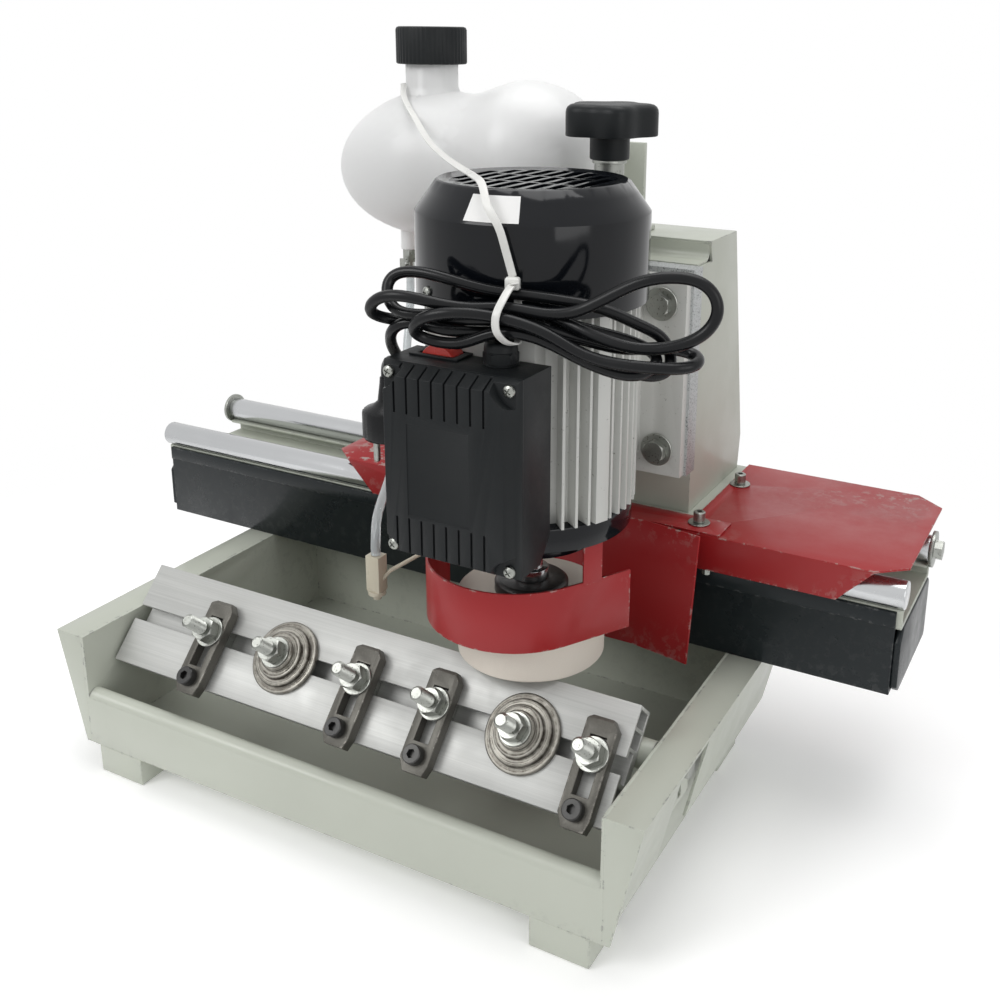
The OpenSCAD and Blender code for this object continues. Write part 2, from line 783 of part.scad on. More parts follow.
// Sheet behind the wheel: a strip under the covers' front screws and a hanging panel
module splash_guard() color(red_sheet) {
    fold_y = cover_front_y + 1;
    z = cover_z + cover_t;
    difference() {
        block([carriage_x - splash_half, fold_y, z], [carriage_x + splash_half, fold_y + splash_d, z + cover_t]);
        for (s = [-1, 1])
            translate([carriage_x + s * cover_screw_x, cover_screw_y[0], z - 1])
                cylinder(r = m5_r + bolt_hole_gap, h = cover_t + 2);
    }
    translate([carriage_x, fold_y, z + cover_t]) rotate([-splash_lean, 0, 0])
        translate([0, 0, -splash_h - cover_t]) linear_extrude(splash_h + cover_t) polygon([
            [-cover_in + 2, 0], [splash_bend, 0], [splash_reach, -splash_out],
            [splash_reach - 0.4, -splash_out - cover_t], [splash_bend - 0.4, -cover_t], [-cover_in + 2, -cover_t]]);
}

// Socket screws with washers that hold the covers, and the nut of the plate's front lug
module cover_fasteners() color(zinc) {
    for (s = [-1, 1], k = [0, 1]) {
        seat = cover_z + cover_t + (k == 0 ? cover_t : 0);
        translate([carriage_x + s * cover_screw_x, cover_screw_y[k], 0]) {
            translate([0, 0, plate_z]) cylinder(r = m5_r, h = seat - plate_z);
            translate([0, 0, seat]) cylinder(r = m5_washer_r, h = 1.2);
            translate([0, 0, seat + 1.2]) difference() {
                cylinder(r = cap_screw_r, h = cap_screw_h);
                translate([0, 0, 4]) cylinder(r = 2.3, h = cap_screw_h, $fn = 6);
            }
        }
    }
    translate([carriage_x + carriage_half_w - 5, plate_front_y + 3.2, plate_z - 26])
        cylinder(r = 3.4, h = 7, $fn = 6);
}

// ---- coolant ----

// Radius of the bottle's wall at a place from -1 to 1 along its axis
function bottle_at(t) = bottle_r * (1 + 0.018 * t) * (1 - 0.17 * exp(-pow((t - 0.12) / 0.26, 2)))
    * pow(max(0, 1 - pow(abs(t), t < 0 ? 2.42 : 3.15)), 0.5);

module bottle_body(inset) {
    steps = 36;
    reach = bottle_half_len - inset;
    rotate([0, 90, 0]) rotate_extrude($fn = 64) polygon([for (k = [0:steps])
        let (t = -cos(180 * k / steps)) [max(0, bottle_at(t) - (k == 0 || k == steps ? 0 : inset)), t * reach]]);
}

module on_bottle() {
    translate([bottle_x, bottle_y, bottle_z]) children();
}

module bottle() color("#e6e8e6") on_bottle() difference() {
    union() {
        rotate([0, -bottle_tilt, 0]) bottle_body(0);
        translate([neck_x, 0, 20]) cylinder(r = neck_r, h = neck_top - 20);
        translate([neck_x, 0, 35]) cylinder(r1 = neck_r + 9, r2 = neck_r, h = 22);
        translate([tap_x, 0, -tap_low]) cylinder(r = 7, h = 30);
        translate([0, 20, 0]) rod_y(11, 0, bar_y - bottle_y - 20);
    }
    rotate([0, -bottle_tilt, 0]) bottle_body(bottle_wall);
    translate([neck_x, 0, 20]) cylinder(r = neck_r - bottle_wall, h = neck_top);
}

module bottle_cap() color(black_plastic) on_bottle() translate([neck_x, 0, neck_top + 5 - cap_h]) difference() {
    cylinder(r = cap_r, h = cap_h);
    translate([0, 0, -1]) cylinder(r = neck_r + cap_gap, h = cap_h - 4 + 1);
}

// Flat bar behind the bottle, with a foot on top of the column
module bottle_bracket() color(pale_green) {
    foot_x = carriage_x - column_half_w + 4;
    z0 = column_top_z;
    block([bottle_x - 20, bar_y, bottle_z - 16], [foot_x + 30, bar_y + 4, bottle_z + 16]);
    block([foot_x, bar_y, z0], [foot_x + 30, bar_y + 4, bottle_z]);
    block([foot_x, column_back_top - 22, z0], [foot_x + 30, bar_y + 4, z0 + 4]);
}

module drip_valve() color(zinc) on_bottle() translate([tap_x, 0, 0]) {
    translate([0, 0, -tap_low - 11]) cylinder(r = 6.2, h = 11, $fn = 6);
    translate([0, 0, -tap_low - 23]) cylinder(r = 4, h = 12);
    translate([0, -10, -tap_low - 15]) rod_y(2.2, 0, 10);
    translate([-2, -12, -tap_low - 21]) cube([4, 2, 14]);
}

module coolant_hose() color("#cfd6d6") tube(hose_points, hose_r, 8);

// Nozzle block with its tip, and the wire that carries it from the carriage plate
module nozzle() {
    at = hose_points[len(hose_points) - 1] - [0, 0, 0.3];
    color("#b7ab8f") block([at[0] - 5.5, at[1] - 5, at[2] - 27], [at[0] + 5.5, at[1] + 5, at[2]]);
    color(zinc) translate([at[0], at[1], at[2] - 30]) cylinder(r = 6.5, h = 3);
    color(zinc) translate([at[0], at[1], at[2] - 34]) cylinder(r = 3, h = 4);
    color(zinc) tube([[at[0] + 3, at[1], at[2] - 20], [at[0] + 9, at[1] + 4, at[2] - 12],
        [20, -50, 188], [32, -20, 194], [44, 8, 195], [47, 18, 195], [47, 25.3, 195]], 1.5, 8);
}

// ---- motor slide ----

// Slide plate; its slot for the way is closed at the top, where the lifting screw runs in it
module slide_plate() color(alloy) difference() {
    block([carriage_x - slide_half_w, slide_front_y, slide_z], [carriage_x + slide_half_w, slide_back_y, slide_top]);
    translate([carriage_x, 0, slide_z - 1]) linear_extrude(slide_h + 1 - way_cap) polygon([
        [-way_root - slide_gap, slide_back_y + 1], [way_root + slide_gap, slide_back_y + 1],
        [way_tip + 1.5 * slide_gap, column_y - way_d - slide_gap],
        [-way_tip - 1.5 * slide_gap, column_y - way_d - slide_gap]]);
    translate([screw_x, screw_y, slide_z - 1]) cylinder(r = screw_r + fit_gap, h = slide_h + 2);
    for (s = [-1, 1], z = foot_bolt_z)
        translate([carriage_x + s * foot_bolt_x, 0, z]) rod_y(4.05, slide_front_y - 1, slide_back_y - 2);
}

// Extruded housing with fins, and the foot plate it stands on
module motor_housing() color(alloy) {
    on_motor(housing_z) linear_extrude(housing_h) difference() {
        union() {
            circle(r = housing_r, $fn = 96);
            for (k = [0:fin_count - 1]) fin(360 * k / fin_count);
            rotate(rib_at) translate([housing_r - 2, -5]) square([fin_r - housing_r + 2.5, 10]);
        }
        circle(r = bore_r, $fn = 96);
    }
    on_motor(housing_z) linear_extrude(housing_h) intersection() {
        difference() {
            circle(r = fin_r, $fn = 96);
            circle(r = housing_r - 1, $fn = 96);
        }
        translate([-34, -fin_r]) square([68, fin_r]);
    }
    foot_z = slide_z + 1;
    difference() {
        block([motor_x - foot_plate_half, foot_plate_y, foot_z], [motor_x + foot_plate_half, slide_front_y, foot_z + foot_plate_h]);
        for (s = [-1, 1], z = foot_bolt_z)
            translate([motor_x + s * foot_bolt_x, 0, z]) rod_y(4.05, foot_plate_y - 1, slide_front_y + 1);
        translate([screw_x, screw_y, foot_z]) cylinder(r = screw_r + 1, h = foot_plate_h + 2);
    }
    both_sides(motor_x) block([motor_x + foot_web_x, motor_y + sqrt(housing_r * housing_r - foot_web_x * foot_web_x) - 4, housing_z],
        [motor_x + foot_web_x + foot_web_t, foot_plate_y, housing_z + foot_plate_h - 18]);
}

// One cooling fin, left out in front where the junction box sits
module fin(angle) {
    if (abs(angle - 270) > 42)
        rotate(angle) translate([housing_r - 2, -fin_t / 2]) square([fin_r - housing_r + 2, fin_t]);
}

module foot_bolts() color(zinc) for (s = [-1, 1], z = foot_bolt_z) translate([motor_x + s * foot_bolt_x, 0, z]) {
    rod_y(4, foot_plate_y, slide_back_y - 4);
    rod_y(12, foot_plate_y - 1.8, foot_plate_y);
    rod_y(8.6, foot_plate_y - 8, foot_plate_y - 1.8, 6);
}

module stator() color("#8c7350") on_motor(stack_z) difference() {
    union() {
        cylinder(r = bore_r - stator_gap, h = stack_h);
        translate([0, 0, -13]) cylinder(r = bore_r - 7, h = stack_h + 26);
    }
    translate([0, 0, -14]) cylinder(r = rotor_r + air_gap, h = stack_h + 28);
}

// Upper and lower bearing shields
module end_shields() color(gloss_black) {
    on_motor(housing_z - shield_h) difference() {
        union() {
            cylinder(r = fin_r - 2, h = shield_h, $fn = 96);
            translate([0, 0, -shield_boss_h]) cylinder(r = shield_boss_r, h = shield_boss_h + 1);
        }
        translate([0, 0, 4]) cylinder(r = shield_boss_r - 3, h = shield_h);
        translate([0, 0, -shield_boss_h + 4]) cylinder(r = bearing_r, h = shield_h + shield_boss_h);
        translate([0, 0, -shield_boss_h - 1]) cylinder(r = shaft_r + 1, h = 10);
    }
    on_motor(housing_top) difference() {
        union() {
            cylinder(r = fin_r - 1, h = 9, $fn = 96);
            cylinder(r = 26, h = 14);
        }
        translate([0, 0, -1]) cylinder(r = bearing_r, h = bearing_w2 + 1);
        translate([0, 0, -2]) cylinder(r = shaft_r + 1, h = 20);
    }
}

module fan_cover() color(gloss_black) on_motor() difference() {
    rotate_extrude($fn = 96) polygon([[fan_cover_r - cover_wall, fan_cover_z], [fan_cover_r, fan_cover_z],
        [fan_cover_r, shoulder_z], [fan_top_r + 1, fan_cover_top - 1], [fan_top_r - 1, fan_cover_top],
        [fan_top_r - 5, fan_cover_top - 1], [0, fan_cover_top - 1], [0, fan_cover_top - 1 - cover_wall],
        [fan_top_r - 2, fan_cover_top - 1 - cover_wall - 0.5], [fan_cover_r - cover_wall, shoulder_z - 0.5]]);
    for (k = [0:grille_slots - 1]) grille_slot(k - (grille_slots - 1) / 2);
}

// One slot of the fan cover's grille, broken by ties
module grille_slot(k) {
    pitch = 2 * (fan_top_r - 12) / grille_slots;
    reach = sqrt(pow(fan_top_r - 11, 2) - pow(k * pitch, 2));
    tie = 3;
    rows = abs(k) > 3 ? [[-reach, reach]] : [[-reach, -14 - tie], [-14, 14], [14 + tie, reach]];
    for (row = rows)
        block([k * pitch - pitch * 0.32, row[0], fan_cover_top - 6], [k * pitch + pitch * 0.32, row[1], fan_cover_top + 1]);
}

module box_side() {
    polygon([[lid_back_y, box_z + 1], [box_back_y - 12, box_z + 1], [box_back_y, box_z + 16],
        [box_back_y, box_top], [lid_back_y, box_top]]);
}

module junction_box() color(black_plastic) difference() {
    along_x(box_x0, box_x0 + box_w) box_side();
    along_x(box_x0 + box_wall, box_x0 + box_w - box_wall) polygon([[lid_back_y - 1, box_z + 1 + box_wall],
        [box_back_y - 14, box_z + 1 + box_wall], [box_back_y - 6, box_z + 12 + box_wall],
        [box_back_y - 6, box_top - box_wall], [lid_back_y - 1, box_top - box_wall]]);
    on_motor(box_z - 5) cylinder(r = fin_r + hug_gap, h = box_h + 40, $fn = 96);
    translate([gland_x, gland_y, box_top - 12]) cylinder(r = gland_r - 3, h = 40);
    translate([switch_x, switch_y, box_top + 3]) cube([24.6, 14.6, 34], center = true);
}

module lid_corners() {
    for (x = [box_x0, box_x0 + box_w], z = [box_z, box_top])
        translate([x, 0, z]) children();
}

// Grooves across the ends of the lid and over its slanted edges; up is 1 at the top and -1 at the bottom
module lid_grooves(up) {
    rim = up > 0 ? box_top : box_z;
    for (k = [0:7])
        along_x(box_x0 + 12.8 + k * 8.54, box_x0 + 12.8 + groove_w + k * 8.54) polygon([
            [lid_front_y - 1, rim - up * 28], [lid_front_y + groove_d, rim - up * 28],
            [lid_front_y + groove_d, rim - up * (lid_draft + 0.9)], [lid_back_y - 2, rim - up * 2.1],
            [lid_back_y - 2, rim + up], [lid_front_y - 1, rim + up]]);
}

// Lid with slanted edges, grooves, a shallow field and a pocket for the screw in each corner
module box_lid() color(black_plastic) difference() {
    x1 = box_x0 + box_w;
    inset = box_wall + lid_draft;
    intersection() {
        translate([0, 0, box_z]) linear_extrude(box_h) polygon([[box_x0, lid_back_y], [box_x0, lid_back_y - lid_rim],
            [box_x0 + lid_draft, lid_front_y], [x1 - lid_draft, lid_front_y], [x1, lid_back_y - lid_rim], [x1, lid_back_y]]);
        along_x(box_x0 - 1, x1 + 1) polygon([[lid_back_y, box_z], [lid_back_y - lid_rim, box_z],
            [lid_front_y, box_z + lid_draft], [lid_front_y, box_top - lid_draft], [lid_back_y - lid_rim, box_top],
            [lid_back_y, box_top]]);
    }
    difference() {
        block([box_x0 + inset, lid_front_y + box_wall, box_z + inset], [x1 - inset, lid_back_y + 1, box_top - inset]);
        lid_corners() rod_y(lid_pocket_r + 2, lid_front_y, lid_back_y + 2);
    }
    lid_corners() rod_y(lid_pocket_r, lid_front_y - 1, lid_front_y + 7);
    lid_grooves(1);
    lid_grooves(-1);
    block([box_x0 + 21.5, lid_front_y - 1, box_z + 30], [box_x0 + 63, lid_front_y + 0.6, box_top - 33.5]);
}

// Cross-head screws of the lid, of the fan cover and of the wheel guard
module case_screws() color(zinc) {
    for (x = [box_x0 + lid_screw_in, box_x0 + box_w - lid_screw_in], z = [box_z + lid_screw_in, box_top - lid_screw_in])
        translate([x, 0, z]) rod_y(3.6, lid_front_y + 4.4, lid_front_y + 7);
    for (a = [30, 150, 240])
        on_motor(fan_cover_z + 9) rotate([0, 0, a]) rod_x(3.4, fan_cover_r, fan_cover_r + 2.2);
    for (right = [true, false]) on_guard_strap(right)
        translate([-6.5, 0, guard_tab_z - 2.5]) cylinder(r = 4.4, h = 2.5);
}

module cable_gland() color(black_plastic) translate([gland_x, gland_y, gland_z]) difference() {
    union() {
        cylinder(r = gland_r, h = gland_h);
        translate([0, 0, -10]) cylinder(r = gland_r - 3.3, h = 11);
    }
    translate([0, 0, -11]) cylinder(r = cord_r + 0.2, h = gland_h + 20);
}

module capacitor() color("#3c4248") translate([box_x0 + box_w / 2, lid_back_y + 9.5,
    box_z + 1 + box_wall]) cylinder(r = 8, h = 50);

// Folded mains cord, drawn as the outline of its hank, which lies against the fan cover
module cord_hank() color("#17191b") on_motor() rotate([0, 0, hank_turn]) along_y(-hank_back - hank_d, -hank_back) {
    for (x = hank_x) translate([x, hank_z]) circle(r = hank_r);
    translate([hank_x[0], hank_z - hank_r]) square([hank_x[1] - hank_x[0], 2 * hank_r]);
}

module mains_lead() color("#17191b") tube(lead_points, cord_r, 8);

module plug() color("#17191b") {
    at = lead_points[len(lead_points) - 1];
    translate([at[0], at[1], at[2] - 20]) cylinder(r1 = 11, r2 = 6, h = 20);
    translate([at[0], at[1], at[2] - 42]) cylinder(r = 17, h = 22);
    for (s = [-1, 1]) translate([at[0] + 9.5 * s, at[1], at[2] - 61]) cylinder(r = 2.3, h = 19);
}

// Cable tie from the bottle's neck down to the cord
module zip_tie() color("#e9eae6") {
    n = len(tie_points);
    tube(tie_points, tie_w / 2, 8);
    end = tie_points[n - 1];
    translate([end[0], end[1], end[2] - 7]) cylinder(r = 4, h = 8);
}

// Places a shape in the frame of one of the guard's two straps
module on_guard_strap(right) {
    translate([guard_cx, guard_cy, 0]) rotate([0, 0, right ? guard_end : guard_start + 8])
        translate([guard_r, right ? guard_tail * 0.42 : 0, 0]) children();
}

// Points of one face of the guard's band, from its left end to the tip of its straight tail
function band_face(r) = concat(
    [for (k = [0:guard_bends]) let (a = guard_start + (guard_end - guard_start) * k / guard_bends) r * [cos(a), sin(a)]],
    [r * [cos(guard_end), sin(guard_end)] + guard_tail * [-sin(guard_end), cos(guard_end)]]);

// Bent band around the wheel, carried by two straps under the lower shield
module wheel_guard() color(red_sheet) {
    inner = band_face(guard_r - guard_t);
    translate([guard_cx, guard_cy, guard_z]) linear_extrude(guard_h)
        polygon(concat(band_face(guard_r), [for (k = [len(inner) - 1:-1:0]) inner[k]]));
    for (right = [true, false]) on_guard_strap(right) {
        block([0.2 - guard_t, -strap_w2 / 2, guard_z + guard_h - 2], [0.2, strap_w2 / 2, guard_tab_z + guard_t]);
        block([-12, -strap_w2 / 2, guard_tab_z], [0.2, strap_w2 / 2, guard_tab_z + guard_t]);
    }
}

// ---- lifting screw ----

module star_knob() color(black_plastic) translate([screw_x, screw_y, knob_z]) difference() {
    union() {
        cylinder(r = knob_stem_r, h = knob_stem_h + 1);
        translate([0, 0, knob_stem_h]) linear_extrude(knob_h) polygon([for (a = [0:4:356])
            (knob_r - knob_wave + knob_wave * cos(5 * (a - 18))) * [cos(a), sin(a)]]);
    }
    translate([0, 0, -1]) cylinder(r = screw_r + fit_gap, h = knob_stem_h + 4);
}

// Lifting screw with its collar, and the washer under the knob
module lead_screw() color(zinc) translate([screw_x, screw_y, 0]) {
    translate([0, 0, screw_bottom]) cylinder(r = screw_r, h = knob_z + knob_stem_h + 2 - screw_bottom);
    translate([0, 0, knob_z - knob_washer_t]) cylinder(r = 12, h = knob_washer_t);
    translate([0, 0, bracket_z + bracket_t]) cylinder(r = 10.5, h = collar_h + 0.5);
    translate([0, 0, bracket_z - 5.2]) cylinder(r = 8.6, h = 5, $fn = 6);
}

// ---- spindle ----

module spindle_shaft() color(bright_steel) on_motor() {
    translate([0, 0, wheel_top_z + flange_h]) cylinder(r = shaft_r, h = fan_z + fan_h - wheel_top_z - flange_h);
    translate([0, 0, wheel_top_z - wheel_back - 14]) cylinder(r = arbor_r, h = wheel_back + 15 + flange_h);
    translate([0, 0, wheel_top_z + flange_h]) cylinder(r = shaft_r + 4, h = 8);
}

module rotor() color("#8f9294") on_motor(stack_z) difference() {
    cylinder(r = rotor_r, h = stack_h);
    translate([0, 0, -1]) cylinder(r = shaft_r, h = stack_h + 2);
}

module bearings() color(bright_steel) for (z = [housing_z - shield_h - shield_boss_h + 4.2, housing_top])
    on_motor(z) difference() {
        cylinder(r = bearing_r - 0.1, h = bearing_w2 - 0.2);
        translate([0, 0, -1]) cylinder(r = shaft_r + fit_gap, h = bearing_w2 + 2);
    }

module cooling_fan() color(black_plastic) on_motor(fan_z) difference() {
    union() {
        cylinder(r = 16, h = fan_h - 4);
        cylinder(r = fan_r, h = 2);
        for (k = [0:fan_blades - 1]) rotate([0, 0, 360 * k / fan_blades])
            translate([12, -1, 0]) cube([fan_r - 13, 2, fan_h]);
    }
    translate([0, 0, -1]) cylinder(r = shaft_r, h = fan_h + 2);
}

// Flange above the wheel and clamping nut inside the cup
module wheel_flanges() color(gloss_black) {
    on_motor(wheel_top_z) difference() {
        union() {
            cylinder(r = flange_r, h = flange_h - 2);
            translate([0, 0, flange_h - 2]) cylinder(r1 = flange_r, r2 = flange_r - 2.5, h = 2);
        }
        translate([0, 0, -1]) cylinder(r = arbor_r, h = flange_h + 2);
    }
    on_motor(wheel_top_z - wheel_back - 12) difference() {
        union() {
            translate([0, 0, 9]) cylinder(r = 18, h = 3);
            cylinder(r = 10.5, h = 9, $fn = 6);
        }
        translate([0, 0, -1]) cylinder(r = arbor_r, h = 20);
    }
}

module cup_wheel() color("#e8e2d6") on_motor(wheel_z) difference() {
    cylinder(r = wheel_r, h = wheel_h, $fn = 96);
    translate([0, 0, -1]) cylinder(r = wheel_r - wheel_wall, h = wheel_h - wheel_back + 1, $fn = 96);
    cylinder(r = arbor_r + 0.05, h = wheel_h + 1);
}

module switch_rocker() color("#c22a20") translate([switch_x, switch_y, switch_z]) difference() {
    rod_y(12, -6.5, 6.5);
    block([-14, -8, -14], [14, 8, -2]);
}

tray();
side_boxes();
feet();
beam();
beam_end_caps();
rail_bed();
rails();
base_bolts();
table_extrusion();
pivot_tube();
clamp_strap(1);  // clamp_strap_1
clamp_bolts(1);  // clamp_bolts_1
clamp_strap(2);  // clamp_strap_2
clamp_bolts(2);  // clamp_bolts_2
clamp_strap(3);  // clamp_strap_3
clamp_bolts(3);  // clamp_bolts_3
clamp_strap(4);  // clamp_strap_4
clamp_bolts(4);  // clamp_bolts_4
stepped_stop(1);  // stepped_stop_1
stepped_stop(2);  // stepped_stop_2
carriage_plate();
bearing_blocks();
column();
slide_way();
screw_bracket();
cover_right();
cover_left();
splash_guard();
cover_fasteners();
bottle();
bottle_bracket();
drip_valve();
coolant_hose();
nozzle();
slide_plate();
motor_housing();
foot_bolts();
stator();
end_shields();
fan_cover();
junction_box();
box_lid();
case_screws();
cable_gland();
capacitor();
cord_hank();
mains_lead();
plug();
zip_tie();
wheel_guard();
star_knob();
lead_screw();
spindle_shaft();
rotor();
bearings();
cooling_fan();
wheel_flanges();
cup_wheel();
switch_rocker();
bottle_cap();
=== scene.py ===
import bpy
import bmesh
import math
from mathutils import Matrix, Vector, kdtree
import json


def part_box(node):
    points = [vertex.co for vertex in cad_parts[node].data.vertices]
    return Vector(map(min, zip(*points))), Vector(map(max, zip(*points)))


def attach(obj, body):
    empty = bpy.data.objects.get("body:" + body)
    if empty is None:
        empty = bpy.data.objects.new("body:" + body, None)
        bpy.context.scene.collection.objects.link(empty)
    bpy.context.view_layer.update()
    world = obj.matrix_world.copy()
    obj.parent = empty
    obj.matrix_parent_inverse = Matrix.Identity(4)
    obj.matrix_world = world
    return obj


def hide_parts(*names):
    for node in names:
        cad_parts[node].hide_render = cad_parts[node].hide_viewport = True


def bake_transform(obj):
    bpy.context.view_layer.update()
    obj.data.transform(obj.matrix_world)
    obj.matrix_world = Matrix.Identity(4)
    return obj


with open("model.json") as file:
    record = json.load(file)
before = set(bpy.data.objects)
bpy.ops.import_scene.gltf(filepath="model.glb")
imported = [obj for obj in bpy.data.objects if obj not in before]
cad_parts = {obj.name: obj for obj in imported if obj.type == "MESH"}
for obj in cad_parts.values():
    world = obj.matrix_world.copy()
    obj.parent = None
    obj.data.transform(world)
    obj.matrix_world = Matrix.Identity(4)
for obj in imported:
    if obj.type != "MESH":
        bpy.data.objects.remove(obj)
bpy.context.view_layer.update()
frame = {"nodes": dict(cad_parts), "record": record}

# Most lengths here are in millimetres; MM turns them into metres
MM = 0.001


def moved(x, y, z):
    """A move by millimetres."""
    return Matrix.Translation((x * MM, y * MM, z * MM))


def raised(height):
    return moved(0, 0, height)


def turned_by(degrees, axis="Z"):
    return Matrix.Rotation(math.radians(degrees), 4, axis)


# Upright axes of the motor, the lifting knob, the bottle's neck, the cord's gland and the plug
MOTOR = Vector((107, -63, 0))
KNOB = (103, 54.2)
NECK = (-83, 112)
GLAND = (128.5, -139)
PLUG = (13, -92)
# Frame of the tilted table at its pivot; in it, the height of the face, the middle of the T-slot,
# the line of the clamps' heel screws, and the places of the clamps and stops along the slot
TABLE_TILT = 46.7
TABLE = moved(0, -88, 100) @ turned_by(TABLE_TILT, "X")
FACE = 30
SLOT_Y = -14.5
HEEL_Y = -48.8
CLAMPS_X = (-127, 7, 70.4, 186.3)
STOPS_X = (-62.5, 133)
# Height of the top of a clamp's strap above the table's face
STRAP = 11
# Radius of the mains cord, and the distance that its strands try to keep between their middles
CORD_RADIUS = 3.4
CORD_GAP = 7.2


# ---------------------------------------------------------------- camera

def place_camera():
    """A camera near the right front corner, looking down on the table."""
    azimuth, elevation, roll = math.radians(27.52), math.radians(16.02), math.radians(0.65)
    right = Vector((math.cos(azimuth), math.sin(azimuth), 0))
    forward = Vector((-math.sin(azimuth) * math.cos(elevation), math.cos(azimuth) * math.cos(elevation),
                      -math.sin(elevation)))
    up = right.cross(forward)
    side = math.cos(roll) * right + math.sin(roll) * up
    top = -math.sin(roll) * right + math.cos(roll) * up
    bpy.ops.object.camera_add(location=(0.45074, -0.68464, 0.54356))
    camera = bpy.context.object
    camera.name = "camera"
    matrix = Matrix((side, top, -forward)).transposed().to_4x4()
    matrix.translation = camera.location
    camera.matrix_world = matrix
    camera.data.sensor_width = 36
    camera.data.lens = 41.53
    camera.data.shift_x = -0.06
    camera.data.shift_y = -0.135
    camera.data.clip_start = 0.01
    camera.data.clip_end = 60
    bpy.context.scene.camera = camera


place_camera()


# ---------------------------------------------------------------- shader groups

def new_group(name, inputs, outputs):
    group = bpy.data.node_groups.new(name, "ShaderNodeTree")
    for label, kind, value in inputs:
        socket = group.interface.new_socket(name=label, in_out="INPUT", socket_type=kind)
        if value is not None:
            socket.default_value = value
    for label, kind in outputs:
        group.interface.new_socket(name=label, in_out="OUTPUT", socket_type=kind)
    start = group.nodes.new("NodeGroupInput")
    end = group.nodes.new("NodeGroupOutput")
    return group, start, end


def add(tree, kind, **values):
    node = tree.nodes.new(kind)
    for key, value in values.items():
        setattr(node, key, value)
    return node


def plug_in(tree, socket, value):
    if isinstance(value, (int, float)):
        socket.default_value = value
    elif isinstance(value, tuple):
        needs_alpha = len(value) == 3 and len(socket.default_value) == 4
        socket.default_value = (*value, 1.0) if needs_alpha else value
    else:
        tree.links.new(value, socket)


def math_node(tree, operation, *values, clamp=False):
    node = add(tree, "ShaderNodeMath", operation=operation, use_clamp=clamp)
    for index, value in enumerate(values):
        plug_in(tree, node.inputs[index], value)
    return node.outputs[0]


def remap(tree, value, low, high, to_low=0.0, to_high=1.0):
    node = add(tree, "ShaderNodeMapRange", clamp=True)
    for index, entry in enumerate((value, low, high, to_low, to_high)):
        plug_in(tree, node.inputs[index], entry)
    return node.outputs[0]


def mix(tree, factor, a, b):
    node = add(tree, "ShaderNodeMix", data_type="RGBA")
    for socket, value in ((node.inputs[0], factor), (node.inputs[6], a), (node.inputs[7], b)):
        plug_in(tree, socket, value)
    return node.outputs[2]


def place_of(tree, stretch=None, turn=None, offset=0.0):
    coords = add(tree, "ShaderNodeTexCoord")
    mapping = add(tree, "ShaderNodeMapping")
    mapping.inputs["Location"].default_value = (offset, offset * 0.7, -offset)
    if turn:
        mapping.inputs["Rotation"].default_value = turn
    if stretch:
        mapping.inputs["Scale"].default_value = stretch
    tree.links.new(coords.outputs["Object"], mapping.inputs["Vector"])
    return mapping.outputs["Vector"]


def noise(tree, scale, detail=3.0, roughness=0.55, stretch=None, turn=None, offset=0.0):
    node = add(tree, "ShaderNodeTexNoise")
    node.inputs["Detail"].default_value = detail
    node.inputs["Roughness"].default_value = roughness
    plug_in(tree, node.inputs["Scale"], scale)
    tree.links.new(place_of(tree, stretch, turn, offset), node.inputs["Vector"])
    return node.outputs["Fac"]


def grain_group():
    """Fine grain: a value around 0.5, and a height."""
    entries = [("Scale", "NodeSocketFloat", 600.0), ("Strength", "NodeSocketFloat", 0.3)]
    results = [("Value", "NodeSocketFloat"), ("Height", "NodeSocketFloat")]
    group, start, end = new_group("grain", entries, results)
    centred = math_node(group, "SUBTRACT", noise(group, start.outputs["Scale"], 4.0, 0.6), 0.5)
    scaled = math_node(group, "MULTIPLY", centred, start.outputs["Strength"])
    group.links.new(math_node(group, "ADD", scaled, 0.5), end.inputs["Value"])
    group.links.new(scaled, end.inputs["Height"])
    return group


def wear_group():
    """Mask of chipped and rubbed edges."""
    entries = [("Amount", "NodeSocketFloat", 0.5)]
    group, start, end = new_group("edge wear", entries, [("Mask", "NodeSocketFloat")])
    geometry = add(group, "ShaderNodeNewGeometry")
    rounded = add(group, "ShaderNodeBevel", samples=6)
    rounded.inputs["Radius"].default_value = 0.0016
    likeness = add(group, "ShaderNodeVectorMath", operation="DOT_PRODUCT")
    group.links.new(geometry.outputs["True Normal"], likeness.inputs[0])
    group.links.new(rounded.outputs["Normal"], likeness.inputs[1])
    edge = remap(group, likeness.outputs["Value"], 0.985, 0.9)
    chips = remap(group, noise(group, 130.0, 6.0, 0.7), 0.53, 0.58)
    mask = math_node(group, "MULTIPLY", edge, chips)
    amount = math_node(group, "MULTIPLY", mask, start.outputs["Amount"], clamp=True)
    group.links.new(amount, end.inputs["Mask"])
    return group


def dust_group():
    """Mask of thin dust and dried drips, thicker on faces that look up."""
    entries = [("Amount", "NodeSocketFloat", 0.3)]
    group, start, end = new_group("dust", entries, [("Mask", "NodeSocketFloat")])
    geometry = add(group, "ShaderNodeNewGeometry")
    split = add(group, "ShaderNodeSeparateXYZ")
    group.links.new(geometry.outputs["Normal"], split.inputs[0])
    facing = remap(group, split.outputs["Z"], -0.2, 1.0, 0.35, 1.0)
    clouds = remap(group, noise(group, 16.0, 7.0, 0.62, offset=3.1), 0.35, 0.85)
    spots = remap(group, noise(group, 700.0, 2.0, 0.5, offset=1.7), 0.68, 0.76)
    both = math_node(group, "ADD", clouds, math_node(group, "MULTIPLY", spots, 0.35), clamp=True)
    mask = math_node(group, "MULTIPLY", both, facing)
    amount = math_node(group, "MULTIPLY", mask, start.outputs["Amount"], clamp=True)
    group.links.new(amount, end.inputs["Mask"])
    return group


